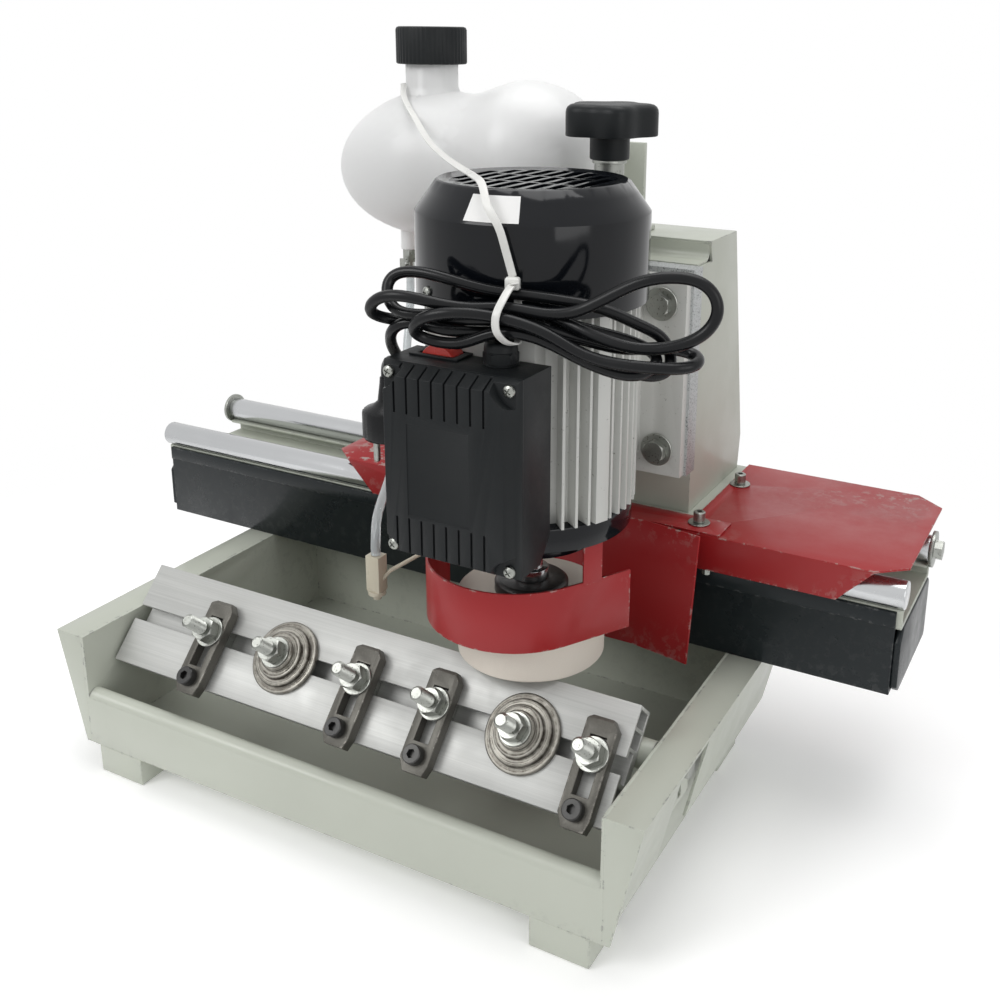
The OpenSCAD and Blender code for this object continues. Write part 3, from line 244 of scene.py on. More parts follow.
def streak_group():
    """Fine lines left by drawing, milling or sawing, along the first axis of its own frame."""
    group, start, end = new_group("tool lines", [("Strength", "NodeSocketFloat", 0.3)],
                                  [("Value", "NodeSocketFloat"), ("Height", "NodeSocketFloat")])
    fine = noise(group, 60.0, 6.0, 0.75, stretch=(0.12, 16, 16))
    broad = noise(group, 14.0, 3.0, 0.6, stretch=(0.15, 9, 9), offset=2.3)
    fine = math_node(group, "MULTIPLY", math_node(group, "SUBTRACT", fine, 0.5), 0.7)
    broad = math_node(group, "MULTIPLY", math_node(group, "SUBTRACT", broad, 0.5), 0.6)
    both = math_node(group, "ADD", fine, broad)
    scaled = math_node(group, "MULTIPLY", both, start.outputs["Strength"])
    group.links.new(math_node(group, "ADD", scaled, 0.5), end.inputs["Value"])
    group.links.new(scaled, end.inputs["Height"])
    return group


GRAIN, WEAR, DUST, LINES = grain_group(), wear_group(), dust_group(), streak_group()


# ---------------------------------------------------------------- materials

def finish(name, colour, rough=0.5, metal=0.0, coat=0.0, wear=0.0, wear_colour=(0.3, 0.3, 0.3), dust=0.1,
           dust_colour=(0.5, 0.48, 0.43), grain=(700.0, 0.1), bump=0.02, variation=0.04, lines=0.0,
           transmission=0.0, spec=0.5, sub=0.0, speckle=None, smudge=0.1):
    """A worn and slightly dusty surface; grain is (scale, strength), speckle (scale, threshold, colour)."""
    material = bpy.data.materials.new(name)
    material.use_nodes = True
    tree = material.node_tree
    shader = next(n for n in tree.nodes if n.type == "BSDF_PRINCIPLED")
    fine = add(tree, "ShaderNodeGroup", node_tree=GRAIN)
    fine.inputs["Scale"].default_value = grain[0]
    fine.inputs["Strength"].default_value = grain[1]
    height = fine.outputs["Height"]
    shade = remap(tree, noise(tree, 7.0, 3.0, 0.5, offset=0.4), 0.3, 0.7, 1.0 - variation, 1.0 + variation)
    grainy = remap(tree, fine.outputs["Value"], 0.0, 1.0, 1 - grain[1], 1 + grain[1])
    shade = math_node(tree, "MULTIPLY", shade, grainy)
    if lines:
        tool = add(tree, "ShaderNodeGroup", node_tree=LINES)
        tool.inputs["Strength"].default_value = lines
        shade = math_node(tree, "MULTIPLY", shade, remap(tree, tool.outputs["Value"], 0.2, 0.8, 0.72, 1.28))
        height = math_node(tree, "ADD", height, tool.outputs["Height"])
    tint = add(tree, "ShaderNodeVectorMath", operation="SCALE")
    tint.inputs[0].default_value = colour
    tree.links.new(shade, tint.inputs["Scale"])
    base = tint.outputs[0]
    if speckle:
        spots = remap(tree, noise(tree, speckle[0], 3.0, 0.6, offset=5.0), speckle[1], speckle[1] + 0.08)
        base = mix(tree, spots, base, speckle[2])
    if wear:
        edge = add(tree, "ShaderNodeGroup", node_tree=WEAR)
        edge.inputs["Amount"].default_value = wear
        base = mix(tree, edge.outputs["Mask"], base, wear_colour)
    film = add(tree, "ShaderNodeGroup", node_tree=DUST)
    film.inputs["Amount"].default_value = dust
    base = mix(tree, film.outputs["Mask"], base, dust_colour)
    tree.links.new(base, shader.inputs["Base Color"])
    hand = remap(tree, noise(tree, 26.0, 5.0, 0.62, offset=7.7), 0.35, 0.7, -smudge, smudge)
    roughness = math_node(tree, "ADD", hand, rough)
    dull = math_node(tree, "MULTIPLY", film.outputs["Mask"], 0.4)
    roughness = math_node(tree, "ADD", roughness, dull, clamp=True)
    tree.links.new(roughness, shader.inputs["Roughness"])
    if metal:
        clean = math_node(tree, "SUBTRACT", 1.0, film.outputs["Mask"])
        tree.links.new(math_node(tree, "MULTIPLY", clean, metal), shader.inputs["Metallic"])
    if coat:
        shader.inputs["Coat Weight"].default_value = coat
        shader.inputs["Coat Roughness"].default_value = 0.1
    shader.inputs["Specular IOR Level"].default_value = spec
    shader.inputs["Transmission Weight"].default_value = transmission
    if sub:
        shader.inputs["Subsurface Weight"].default_value = sub
        shader.inputs["Subsurface Radius"].default_value = (0.02, 0.02, 0.02)
        shader.inputs["Subsurface Scale"].default_value = 1.0
    relief = add(tree, "ShaderNodeBump")
    relief.inputs["Strength"].default_value = bump
    relief.inputs["Distance"].default_value = 0.001
    tree.links.new(height, relief.inputs["Height"])
    tree.links.new(relief.outputs["Normal"], shader.inputs["Normal"])
    return material


MATERIALS = {
    "green_enamel": finish(
        "green enamel", (0.462, 0.485, 0.42), 0.4, coat=0.12, wear=0.8, wear_colour=(0.2, 0.2, 0.19),
        dust=0.06, grain=(900, 0.03), bump=0.12),
    "black_enamel": finish(
        "black enamel", (0.008, 0.012, 0.014), 0.34, coat=0.1, wear=0.8, wear_colour=(0.13, 0.13, 0.13),
        dust=0.02, grain=(900, 0.1), bump=0.15, spec=0.2),
    "red_enamel": finish(
        "red enamel", (0.32, 0.016, 0.018), 0.38, coat=0.08, wear=0.9, wear_colour=(0.42, 0.36, 0.33),
        dust=0.01, grain=(1100, 0.05), bump=0.15, spec=0.3),
    "ground_steel": finish(
        "ground steel", (0.56, 0.57, 0.58), 0.2, metal=1.0, dust=0.03, grain=(900, 0.05), lines=0.12),
    "zinc_steel": finish(
        "zinc steel", (0.35, 0.36, 0.335), 0.36, metal=1.0, dust=0.08, grain=(1300, 0.35), bump=0.2,
        speckle=(700, 0.6, (0.1, 0.1, 0.09))),
    "dark_steel": finish(
        "dark steel", (0.098, 0.094, 0.082), 0.46, metal=0.55, dust=0.12, wear=0.9,
        wear_colour=(0.34, 0.32, 0.29), grain=(800, 0.5), bump=0.35),
    "alloy": finish(
        "extruded alloy", (0.47, 0.475, 0.46), 0.46, metal=0.4, dust=0.08, lines=0.75, grain=(1600, 0.15)),
    "cast_alloy": finish(
        "sawn alloy", (0.46, 0.475, 0.475), 0.5, metal=0.6, dust=0.1, grain=(1500, 0.5), bump=0.35,
        speckle=(950, 0.55, (0.16, 0.17, 0.17))),
    "gloss_black": finish(
        "gloss black", (0.003, 0.004, 0.006), 0.11, dust=0.01, grain=(500, 0.1), bump=0.04, smudge=0.05,
        spec=0.3),
    "black_plastic": finish(
        "black plastic", (0.008, 0.0098, 0.011), 0.42, dust=0.025, grain=(1700, 0.35), bump=0.25, spec=0.2),
    "red_plastic": finish("red plastic", (0.55, 0.03, 0.02), 0.25, dust=0.02, sub=0.2),
    "bottle_plastic": finish(
        "bottle plastic", (0.86, 0.865, 0.86), 0.36, dust=0.0, sub=0.35, grain=(900, 0.02), variation=0.01,
        smudge=0.03),
    "hose_plastic": finish("hose plastic", (0.66, 0.70, 0.71), 0.2, dust=0.0, transmission=0.6),
    "tan_plastic": finish("tan plastic", (0.50, 0.46, 0.36), 0.3, dust=0.1, sub=0.1),
    "white_plastic": finish("white plastic", (0.78, 0.78, 0.75), 0.35, dust=0.02, sub=0.2),
    "cord_rubber": finish(
        "cord rubber", (0.005, 0.0055, 0.0065), 0.28, dust=0.01, grain=(1500, 0.2), bump=0.1, spec=0.25),
    "white_abrasive": finish(
        "white abrasive", (0.76, 0.70, 0.62), 0.85, dust=0.05, grain=(2600, 0.3), bump=0.6, spec=0.3),
    "laminated_steel": finish("laminated steel", (0.2, 0.18, 0.16), 0.5, metal=0.7, dust=0.1),
}
BLACK_STEEL = finish(
    "black oxide steel", (0.03, 0.03, 0.03), 0.38, metal=0.5, dust=0.12, grain=(1200, 0.3), bump=0.2)
LABEL = finish("blank label", (0.80, 0.80, 0.79), 0.35, dust=0.02, spec=0.4)
TURNED_STEEL = finish(
    "turned steel", (0.28, 0.27, 0.24), 0.36, metal=0.85, dust=0.1, grain=(900, 0.05), lines=0.12)
PALE_ALLOY = finish(
    "pale alloy", (0.58, 0.585, 0.56), 0.5, metal=0.1, dust=0.06, grain=(1300, 0.1), bump=0.08,
    speckle=(420, 0.66, (0.28, 0.28, 0.26)))

for part in frame["record"]["subparts"]:
    node = frame["nodes"][part["node"]]
    node.data.materials.clear()
    node.data.materials.append(MATERIALS[part["material_slot"]])
SLOTS = {part["node"]: part["material_slot"] for part in frame["record"]["subparts"]}


# ---------------------------------------------------------------- workshop: how pieces are made

def only(*pieces):
    """Selects these pieces alone; the first one is active."""
    bpy.ops.object.select_all(action="DESELECT")
    for piece in pieces:
        piece.select_set(True)
    bpy.context.view_layer.objects.active = pieces[0]


def edit(piece, select="SELECT"):
    only(piece)
    bpy.ops.object.mode_set(mode="EDIT")
    bpy.ops.mesh.select_all(action=select)


def leave():
    bpy.ops.object.mode_set(mode="OBJECT")


def seat(piece):
    """The place of a piece goes into its mesh."""
    only(piece)
    bpy.ops.object.transform_apply(location=True, rotation=True, scale=True)
    return piece


def modify(piece, kind, **values):
    """Adds a modifier and applies it."""
    only(piece)
    bpy.ops.object.modifier_add(type=kind)
    modifier = piece.modifiers[-1]
    for key, value in values.items():
        setattr(modifier, key, value)
    bpy.ops.object.modifier_apply(modifier=modifier.name)


def smooth(piece, angle=32):
    only(piece)
    bpy.ops.object.shade_smooth_by_angle(angle=math.radians(angle))


def round_edges(piece, width, segments=2, angle=32):
    modify(piece, "BEVEL", width=width * MM, segments=segments, limit_method="ANGLE",
           angle_limit=math.radians(angle), use_clamp_overlap=True)
    smooth(piece)
    return piece


def join(name, pieces):
    only(*pieces)
    if len(pieces) > 1:
        bpy.ops.object.join()
    pieces[0].name = name
    return pieces[0]


def cut(piece, tools, operation="DIFFERENCE"):
    for tool in tools:
        modify(piece, "BOOLEAN", operation=operation, object=tool, solver="EXACT")
        bpy.data.objects.remove(tool)
    return piece


def new_piece(name, mesh):
    piece = bpy.data.objects.new(name, mesh)
    bpy.context.collection.objects.link(piece)
    return piece


def brick(name, low, high):
    """A block between two corners, to be shaped further."""
    low, high = Vector(low) * MM, Vector(high) * MM
    bpy.ops.object.select_all(action="DESELECT")
    bpy.ops.mesh.primitive_cube_add(size=1, location=(low + high) / 2)
    piece = bpy.context.object
    piece.scale = high - low
    piece.name = name
    return seat(piece)


def turned(name, profile, steps=64, closed=False):
    """A profile of (radius, height) points spun about the Z axis."""
    mesh = bpy.data.meshes.new(name)
    count = len(profile)
    edges = [(k, k + 1) for k in range(count - 1)] + ([(count - 1, 0)] if closed else [])
    mesh.from_pydata([(r * MM, 0, h * MM) for r, h in profile], edges, [])
    piece = new_piece(name, mesh)
    edit(piece)
    bpy.ops.mesh.spin(steps=steps, angle=math.tau, center=(0, 0, 0), axis=(0, 0, 1))
    bpy.ops.mesh.select_all(action="SELECT")
    bpy.ops.mesh.remove_doubles(threshold=0.000005)
    bpy.ops.mesh.normals_make_consistent(inside=False)
    leave()
    smooth(piece)
    return piece


def rod(name, radius, low, high, steps=24):
    return turned(name, [(0, low), (radius, low), (radius, high), (0, high)], steps)


def six_sided(radius, height, middle):
    """A hexagon bar along Z around a middle height, to be cut or to cut with."""
    bpy.ops.object.select_all(action="DESELECT")
    bpy.ops.mesh.primitive_cylinder_add(vertices=6, radius=radius * MM, depth=height * MM,
                                        location=(0, 0, middle * MM))
    return seat(bpy.context.object)


def hexagon(name, radius, height, chamfer=0.8):
    """A hexagon nut or head with turned corners."""
    piece = six_sided(radius, height, height / 2)
    piece.name = name
    waist, reach = radius * 0.86, radius * 1.02
    lens = turned("lens", [(0, -0.01), (waist, -0.01), (reach, chamfer), (reach, height - chamfer),
                           (waist, height + 0.01), (0, height + 0.01)], 48)
    cut(piece, [lens], "INTERSECT")
    smooth(piece, 25)
    return piece


def thread(name, radius, low, high, pitch=1.5):
    """A screw thread from low to high along Z, with its core and a chamfered tip."""
    mesh = bpy.data.meshes.new(name)
    root = radius - 0.65 * pitch * 0.75
    mesh.from_pydata([(root * MM, 0, low * MM), (radius * MM, 0, (low + 0.45 * pitch) * MM),
                      (radius * MM, 0, (low + 0.55 * pitch) * MM), (root * MM, 0, (low + pitch) * MM)],
                     [(0, 1), (1, 2), (2, 3)], [])
    ridge = new_piece(name, mesh)
    turns = int((high - low - 1.2) / pitch)
    modify(ridge, "SCREW", axis="Z", angle=math.tau, screw_offset=pitch * MM, iterations=turns, steps=20,
           render_steps=20, use_merge_vertices=True)
    smooth(ridge, 40)
    bar = root + 0.05
    core = turned(name + "_core", [(0, low), (bar, low), (bar, high - 0.9), (root - 0.9, high),
                                   (0, high)], 24)
    return join(name, [ridge, core])


def placed(source, name, matrix):
    """A copy of a piece with its own mesh, at another place."""
    piece = new_piece(name, source.data.copy())
    piece.data.transform(matrix)
    return piece


def scrap(*pieces):
    for piece in pieces:
        bpy.data.objects.remove(piece)


def dressed(node, name, width, segments=2, angle=32, tidy=0.6, material=None):
    """The shape of a CAD node as one clean skin with rounded edges."""
    piece = new_piece(name, frame["nodes"][node].data.copy())
    edit(piece)
    bpy.ops.mesh.remove_doubles(threshold=0.00001)
    bpy.ops.mesh.dissolve_limited(angle_limit=math.radians(tidy))
    leave()
    round_edges(piece, width, segments, angle)
    put(piece, BODY_OF[node], node, material=material)
    return piece


def put(piece, body, *nodes, material=None):
    """Finish, body and CAD nodes of a piece."""
    slot = SLOTS[nodes[0]] if nodes else None
    piece.data.materials.clear()
    piece.data.materials.append(material or MATERIALS[slot])
    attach(piece, body)
    if nodes:
        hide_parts(*nodes)
    return piece


BODY_OF = {}
for body, names in frame["record"]["behaviour"]["bodies"].items():
    for name in names:
        BODY_OF[name] = body


def curved(points, steps=6):
    """Points on a smooth line through the given ones."""
    points = [Vector(p) for p in points]
    ends = [2 * points[0] - points[1]] + points + [2 * points[-1] - points[-2]]
    line = []
    for k in range(1, len(ends) - 2):
        a, b, c, d = ends[k - 1:k + 3]
        for j in range(steps):
            t = j / steps
            rise = (c - a) * t + (2 * a - 5 * b + 4 * c - d) * t * t + (3 * b - a - 3 * c + d) * t ** 3
            line.append(0.5 * (2 * b + rise))
    line.append(points[-1])
    return line


def rope(name, points, radius, detail=4):
    """A free cord: one open spline with a round section."""
    data = bpy.data.curves.new(name, "CURVE")
    data.dimensions = "3D"
    data.resolution_u = detail
    data.bevel_depth = radius * MM
    data.bevel_resolution = 4
    data.use_fill_caps = True
    spline = data.splines.new("BEZIER")
    spline.bezier_points.add(len(points) - 1)
    for knot, point in zip(spline.bezier_points, points):
        knot.co = Vector(point) * MM
        knot.handle_left_type = knot.handle_right_type = "AUTO"
    piece = bpy.data.objects.new(name, data)
    bpy.context.collection.objects.link(piece)
    return piece


def length_of(piece):
    """Length of a cord's line in metres."""
    only(piece)
    line = curved([knot.co for knot in piece.data.splines[0].bezier_points], 8)
    return sum((b - a).length for a, b in zip(line, line[1:]))


def ribbon(name, points, outward, width, thickness, closed=False):
    """A flat band along a line; outward gives the direction away from what it lies on."""
    form = bmesh.new()
    rings = []
    count = len(points)
    for k, point in enumerate(points):
        before = points[(k - 1) % count] if closed else points[max(k - 1, 0)]
        after = points[(k + 1) % count] if closed else points[min(k + 1, count - 1)]
        heading = (after - before).normalized()
        out = outward(point)
        out = (out - heading * out.dot(heading)).normalized()
        across = heading.cross(out)
        rings.append([form.verts.new((point + across * (sx * width / 2) + out * (sy * thickness / 2)) * MM)
                      for sx, sy in ((-1, -1), (1, -1), (1, 1), (-1, 1))])
    for k in range(count if closed else count - 1):
        a, b = rings[k], rings[(k + 1) % count]
        for j in range(4):
            form.faces.new((a[j], a[(j + 1) % 4], b[(j + 1) % 4], b[j]))
    if not closed:
        form.faces.new(rings[0][::-1])
        form.faces.new(rings[-1])
    bmesh.ops.recalc_face_normals(form, faces=form.faces)
    mesh = bpy.data.meshes.new(name)
    form.to_mesh(mesh)
    form.free()
    piece = new_piece(name, mesh)
    round_edges(piece, min(width, thickness) * 0.3, 2, 50)
    return piece


# ---------------------------------------------------------------- cords

# Route of the mains cord: four turns through the hank, each to the right and back to the left,
# and the free end that hangs down to the plug
TURNS = [
    [(128.5, -139, 376), (128.5, -139, 380), (130, -140, 384), (133, -140, 388), (148, -136, 388),
     (158, -134, 383), (168, -133, 378), (179, -131, 372), (191, -129, 368), (202, -127, 365),
     (213, -123, 365), (220, -117, 369), (220, -111, 375)],
    [(214, -110, 383), (203, -113, 388), (190, -119, 395), (177, -124, 399), (162, -129, 401),
     (144, -134, 403), (125, -139, 404), (110, -143, 407), (93, -146, 410), (77, -148, 412),
     (64, -151, 409), (63, -156, 401)],
    [(70, -160, 392), (82, -160, 389), (95, -155, 389), (108, -150, 391), (123, -146, 393),
     (140, -142, 394), (156, -139, 393), (170, -138, 390), (184, -138, 387), (198, -136, 383),
     (211, -133, 381), (224, -130, 382), (236, -126, 386), (245, -122, 392), (250, -120, 402)],
    [(248, -120, 411), (241, -121, 418), (230, -124, 420), (217, -128, 419), (206, -131, 415),
     (195, -134, 409), (183, -137, 402), (172, -140, 397), (159, -143, 395), (143, -148, 398),
     (130, -152, 398), (116, -158, 397), (100, -164, 400), (87, -169, 402), (73, -171, 402),
     (61, -169, 395), (59, -163, 387)],
    [(68, -155, 382), (84, -151, 383), (104, -150, 386), (128, -149, 390), (147, -144, 391),
     (161, -140, 387), (174, -133, 382), (190, -126, 378), (205, -119, 375), (221, -112, 375),
     (233, -112, 376), (240, -118, 375)],
    [(239, -128, 373), (227, -136, 373), (208, -141, 373), (190, -144, 375), (177, -147, 380),
     (165, -149, 386), (152, -153, 391), (138, -157, 394), (123, -163, 396), (107, -169, 395),
     (94, -169, 390), (87, -165, 382)],
    [(92, -158, 376), (106, -154, 377), (121, -153, 381), (134, -151, 385), (146, -149, 385),
     (160, -145, 382), (172, -141, 375), (186, -137, 369), (199, -134, 366), (210, -129, 365),
     (217, -121, 368)],
    [(213, -113, 374), (200, -114, 378), (184, -120, 383), (171, -126, 386), (158, -130, 387),
     (145, -135, 385), (113, -149, 384), (98, -153, 384), (84, -156, 385), (70, -157, 384)],
]
LEAD = [(63, -153, 373), (58, -146, 364), (55, -137, 357), (48, -127, 350.5), (38, -116, 345.5),
        (27, -105, 341.5), (18, -96.5, 337), (13.5, -92.5, 331), (13, -92, 325)]


def settled(points, gap, rounds=100, neighbours=8, share=0.35, stiffness=0.5):
    """Pushes the strands of a cord apart until they hardly touch, and rounds its bends; its ends stay."""
    line = curved(points, 4)
    last = len(line) - 1
    for _ in range(rounds):
        tree = kdtree.KDTree(len(line))
        for k, place in enumerate(line):
            tree.insert(place, k)
        tree.balance()
        push = [Vector() for _ in line]
        for k, place in enumerate(line[1:last], 1):
            for other, index, reach in tree.find_range(place, gap):
                if abs(index - k) > neighbours:
                    push[k] += (place - other) * (share * (gap - reach) / reach)
        for _ in range(2):
            push[1:last] = [(push[k - 1] + 2 * push[k] + push[k + 1]) / 4 for k in range(1, last)]
        line = [place + move for place, move in zip(line, push)]
        for factor in (stiffness, -stiffness):
            line[2:last - 1] = [line[k].lerp((line[k - 1] + line[k + 1]) / 2, factor)
                                for k in range(2, last - 1)]
    return line


def ribbed(piece, columns, every, rest, beyond, factor):
    """Draws every so many columns of a turned wall inwards, where it lies beyond a radius."""
    for vertex in piece.data.vertices:
        column = round(math.atan2(vertex.co.y, vertex.co.x) / math.tau * columns)
        if math.hypot(vertex.co.x, vertex.co.y) > beyond * MM and column % every == rest:
            vertex.co.x *= factor
            vertex.co.y *= factor


def make_cords():
    """Mains cord, folded into a tied hank, with its plug; and the coolant hose."""
    strands = settled([point for turn in TURNS for point in turn] + LEAD, CORD_GAP)
    lead = rope("mains_cord", strands, CORD_RADIUS, 2)
    plug = turned("plug_body", [(0, 325), (4.3, 325), (4.6, 321), (6.2, 309), (9.5, 306), (14.5, 304),
                                (16.4, 302.5), (16.8, 300.5), (16.8, 285.5), (16.2, 284), (15, 283.1),
                                (0, 283.1)], 48)
    ribbed(plug, 48, 2, 1, 15.5, 0.955)
    plug.data.transform(moved(*PLUG, 0))
    pins = []
    for side in (-9.5, 9.5):
        pin = turned("pin", [(0, 283.2), (2.3, 283.2), (2.3, 265.5), (1.6, 264.3), (0, 264.2)], 20)
        pin.data.transform(moved(PLUG[0] + side, PLUG[1], 0))
        pins.append(pin)
    put(plug, "motor_slide", "plug")
    pins = put(join("plug_pins", pins), "motor_slide", material=MATERIALS["zinc_steel"])
    put(lead, "motor_slide", "cord_hank", "mains_lead")
    round(length_of(lead), 3)

    hose = rope("hose", [(-109, 112, 344.4), (-109, 112, 338), (-109, 111.5, 330), (-108, 108, 310),
                         (-104, 98, 290), (-96, 84, 270), (-86, 66, 252), (-74, 44, 238), (-62, 20, 228),
                         (-48, -6, 220), (-35, -32, 215), (-23, -56, 212), (-13, -74, 208), (-7, -83, 202),
                         (-6, -85, 196), (-6, -85, 190.3)], 3.5)
    put(hose, "carriage", "coolant_hose")
    round(length_of(hose), 3)


def away_from_motor(point):
    """Way the cable tie's band faces: steeper over the top of the fan cover than along its side."""
    level = Vector((point.x - MOTOR.x, point.y - MOTOR.y, 0)).normalized() * (0.4 if point.z > 461 else 1)
    return level + Vector((0, 0, 1.0 if point.z > 452 else 0.1))


def make_cable_tie():
    """Cable tie from the bottle's neck down to the hank, its head, and its loop around the cord."""
    route = curved([(-99.1, 95, 504), (-86, 77.5, 493.5), (-62, 58, 479), (-20, 12, 469), (20, -31, 465),
                    (60, -74, 463.6), (92, -108, 463.3), (108, -125, 461.5), (118, -135.5, 451),
                    (126.6, -137.4, 439.4), (131, -137, 426), (134.9, -136.6, 413)])
    band = ribbon("tie_band", route, away_from_motor, 4.6, 1.3)
    band.data.materials.append(MATERIALS["white_plastic"])
    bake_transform(band)
    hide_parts("zip_tie")
    ring = [(9.5, -82, 410), (9, -90, 408.6), (7.5, -98, 404), (5.8, -103.9, 398.3), (5.2, -105.3, 392.5),
            (6, -104, 386.6), (9, -99.5, 381), (12, -93, 378.1), (12.5, -86, 377.2), (11.5, -79, 378.2),
            (10.5, -74.9, 383), (10, -73.9, 392), (9.5, -74.2, 402), (9.5, -77, 408)]
    ring = [turned_by(15) @ Vector(p) + MOTOR for p in ring]
    middle = sum(ring, Vector()) / len(ring)
    loop = curved(ring + [ring[0]])[:-1]
    strap = ribbon("tie_loop", loop, lambda p: (p - middle).normalized(), 4.6, 1.3, closed=True)
    head = brick("tie_head", (-4.2, -3, -3.6), (4.2, 3.2, 3.6))
    round_edges(head, 1.5, 3)
    head.data.transform(moved(136.2, -139.2, 409.8) @ turned_by(20))
    tail = ribbon("tie_tail", curved([(136.2, -139.4, 410), (139, -142.5, 410.6), (141, -144.6, 411.3)], 3),
                  lambda p: Vector((0, 0, 1)), 4.4, 1.2)
    put(join("tie_loop", [strap, head, tail]), "motor_slide", material=MATERIALS["white_plastic"])


make_cords()
make_cable_tie()


# ---------------------------------------------------------------- fasteners, modelled once

STUD = thread("stud", 5, 11.5, 40)
NUT = hexagon("nut", 9.2, 9, 1.1)
WASHER = turned("washer", [(5.3, 0), (10.7, 0), (11, 0.4), (11, 1.6), (10.6, 2), (5.5, 2)], 48, closed=True)


def cross_screw(name):
    """A domed screw head with a cross recess; its top is at zero, facing +Z."""
    head = turned(name, [(0, -3.0), (3.6, -3.0), (3.75, -2.2), (3.4, -1.1), (2.4, -0.35), (1.0, -0.02),
                         (0, 0)], 32)
    cut(head, [brick("slot", (-2.2, -0.42, -1.7), (2.2, 0.42, 1)),
               brick("slot", (-0.42, -2.2, -1.7), (0.42, 2.2, 1))])
    smooth(head, 40)
    return head


def socket_head(name, radius, height, socket, depth):
    """A socket screw head that stands on zero."""
    head = turned(name, [(0, 0), (radius - 0.3, 0), (radius, 0.3), (radius, height - 0.7),
                         (radius - 0.7, height), (0, height)], 32)
    cut(head, [six_sided(socket, 2 * depth, height)])
    smooth(head, 40)
    return head


CROSS = cross_screw("cross_screw")
SOCKET = socket_head("socket_head", 6.5, 7, 3.2, 4)
CAP_SCREW = socket_head("cap_screw", 4.3, 8, 2.2, 4)


def table_stud(x, lift, top, turn):
    """T-slot bolt whose washer and nut stand so far above the table's face; its plain shank ends at top."""
    at = TABLE @ moved(x, SLOT_Y, FACE)
    shank = rod("shank", 4.2, -12, top)
    shank.data.transform(at)
    head = brick("t_head", (x - 5.1, -24, 18), (x + 5.1, -5, 25))
    head.data.transform(TABLE)
    return [placed(STUD, "s", at @ turn), placed(WASHER, "w", at @ raised(lift)),
            placed(NUT, "n", at @ raised(lift + 2) @ turn), shank, head]


def clamp_set(number, x):
    """Stud, nut and washer of one clamp, and its black heel screw."""
    turn = turned_by(17 * number)
    put(join("clamp_stud_%d" % number, table_stud(x, STRAP, STRAP + 1, turn)),
        "clamp_%d" % number, "clamp_bolts_%d" % number)
    heel = TABLE @ moved(x, HEEL_Y, FACE)
    screw = placed(SOCKET, "heel_screw_%d" % number, heel @ raised(STRAP) @ turn)
    pin = rod("pin", 4, 0.05, STRAP)
    pin.data.transform(heel)
    put(join("heel_screw_%d" % number, [screw, pin]), "clamp_%d" % number, material=BLACK_STEEL)


def ringed_metal(name, centre):
    """Turned steel with rings around its own axis."""
    material = TURNED_STEEL.copy()
    material.name = name
    tree = material.node_tree
    shader = next(n for n in tree.nodes if n.type == "BSDF_PRINCIPLED")
    coords = add(tree, "ShaderNodeTexCoord")
    shift = add(tree, "ShaderNodeVectorMath", operation="SUBTRACT")
    shift.inputs[1].default_value = centre
    tree.links.new(coords.outputs["Object"], shift.inputs[0])
    turn = add(tree, "ShaderNodeMapping")
    turn.inputs["Rotation"].default_value = (math.radians(-TABLE_TILT), 0, 0)
    tree.links.new(shift.outputs[0], turn.inputs["Vector"])
    flat = add(tree, "ShaderNodeVectorMath", operation="MULTIPLY")
    flat.inputs[1].default_value = (1, 1, 0)
    tree.links.new(turn.outputs[0], flat.inputs[0])
    reach = add(tree, "ShaderNodeVectorMath", operation="LENGTH")
    tree.links.new(flat.outputs[0], reach.inputs[0])
    rings = add(tree, "ShaderNodeTexNoise", noise_dimensions="1D")
    rings.inputs["Scale"].default_value = 900
    rings.inputs["Detail"].default_value = 4
    tree.links.new(reach.outputs["Value"], rings.inputs["W"])
    old = shader.inputs["Base Color"].links[0].from_socket
    patches = remap(tree, noise(tree, 160.0, 5.0, 0.7, offset=9.0), 0.38, 0.56, 0.25, 1.0)
    dark = remap(tree, rings.outputs["Fac"], 0.4, 0.6, 0.1, 0.9)
    dark = math_node(tree, "MULTIPLY", dark, patches)
    tree.links.new(mix(tree, dark, old, (0.035, 0.027, 0.02)), shader.inputs["Base Color"])
    relief = next(n for n in tree.nodes if n.type == "BUMP")
    relief.inputs["Strength"].default_value = 0.35
    tree.links.new(rings.outputs["Fac"], relief.inputs["Height"])
    return material


def stepped_stop(number, x):
    """Round stop with four steps, its stud, washer and nut."""
    steps, radius, ledge, rise = 4, 26, 4.5, 3.6
    profile = [(5.3, 0.05), (radius - 0.4, 0.05), (radius, 0.5)]
    for step in range(steps):
        reach, top = radius - ledge * step, rise * (step + 1)
        profile += [(reach, top - 0.9), (reach - 0.8, top - 0.1), (reach - 1.4, top)]
        if step < steps - 1:
            profile += [(reach - 4.1, top - 0.25), (reach - ledge, top + 0.1)]
    profile += [(5.3, steps * rise)]
    cone = turned("stop_%d" % number, profile, 72, closed=True)
    at = TABLE @ moved(x, SLOT_Y, FACE)
    cone.data.transform(at)
    body = "stop_%d" % number
    parts = table_stud(x, steps * rise, 15, turned_by(23 * number))
    put(join("stop_stud_%d" % number, parts), body, material=MATERIALS["zinc_steel"])
    metal = ringed_metal("turned steel %d" % number, tuple(at.translation))
    put(cone, body, "stepped_stop_%d" % number, material=metal)


def make_table():
    for number, x in enumerate(CLAMPS_X, 1):
        clamp_set(number, x)
        dressed("clamp_strap_%d" % number, "strap_%d" % number, 0.7, 2)
    for number, x in enumerate(STOPS_X, 1):
        stepped_stop(number, x)
    dressed("table_extrusion", "knife_table", 0.45, 2)
    dressed("pivot_tube", "table_pivot", 0.5, 2)


make_table()


# ---------------------------------------------------------------- base, beam and rails

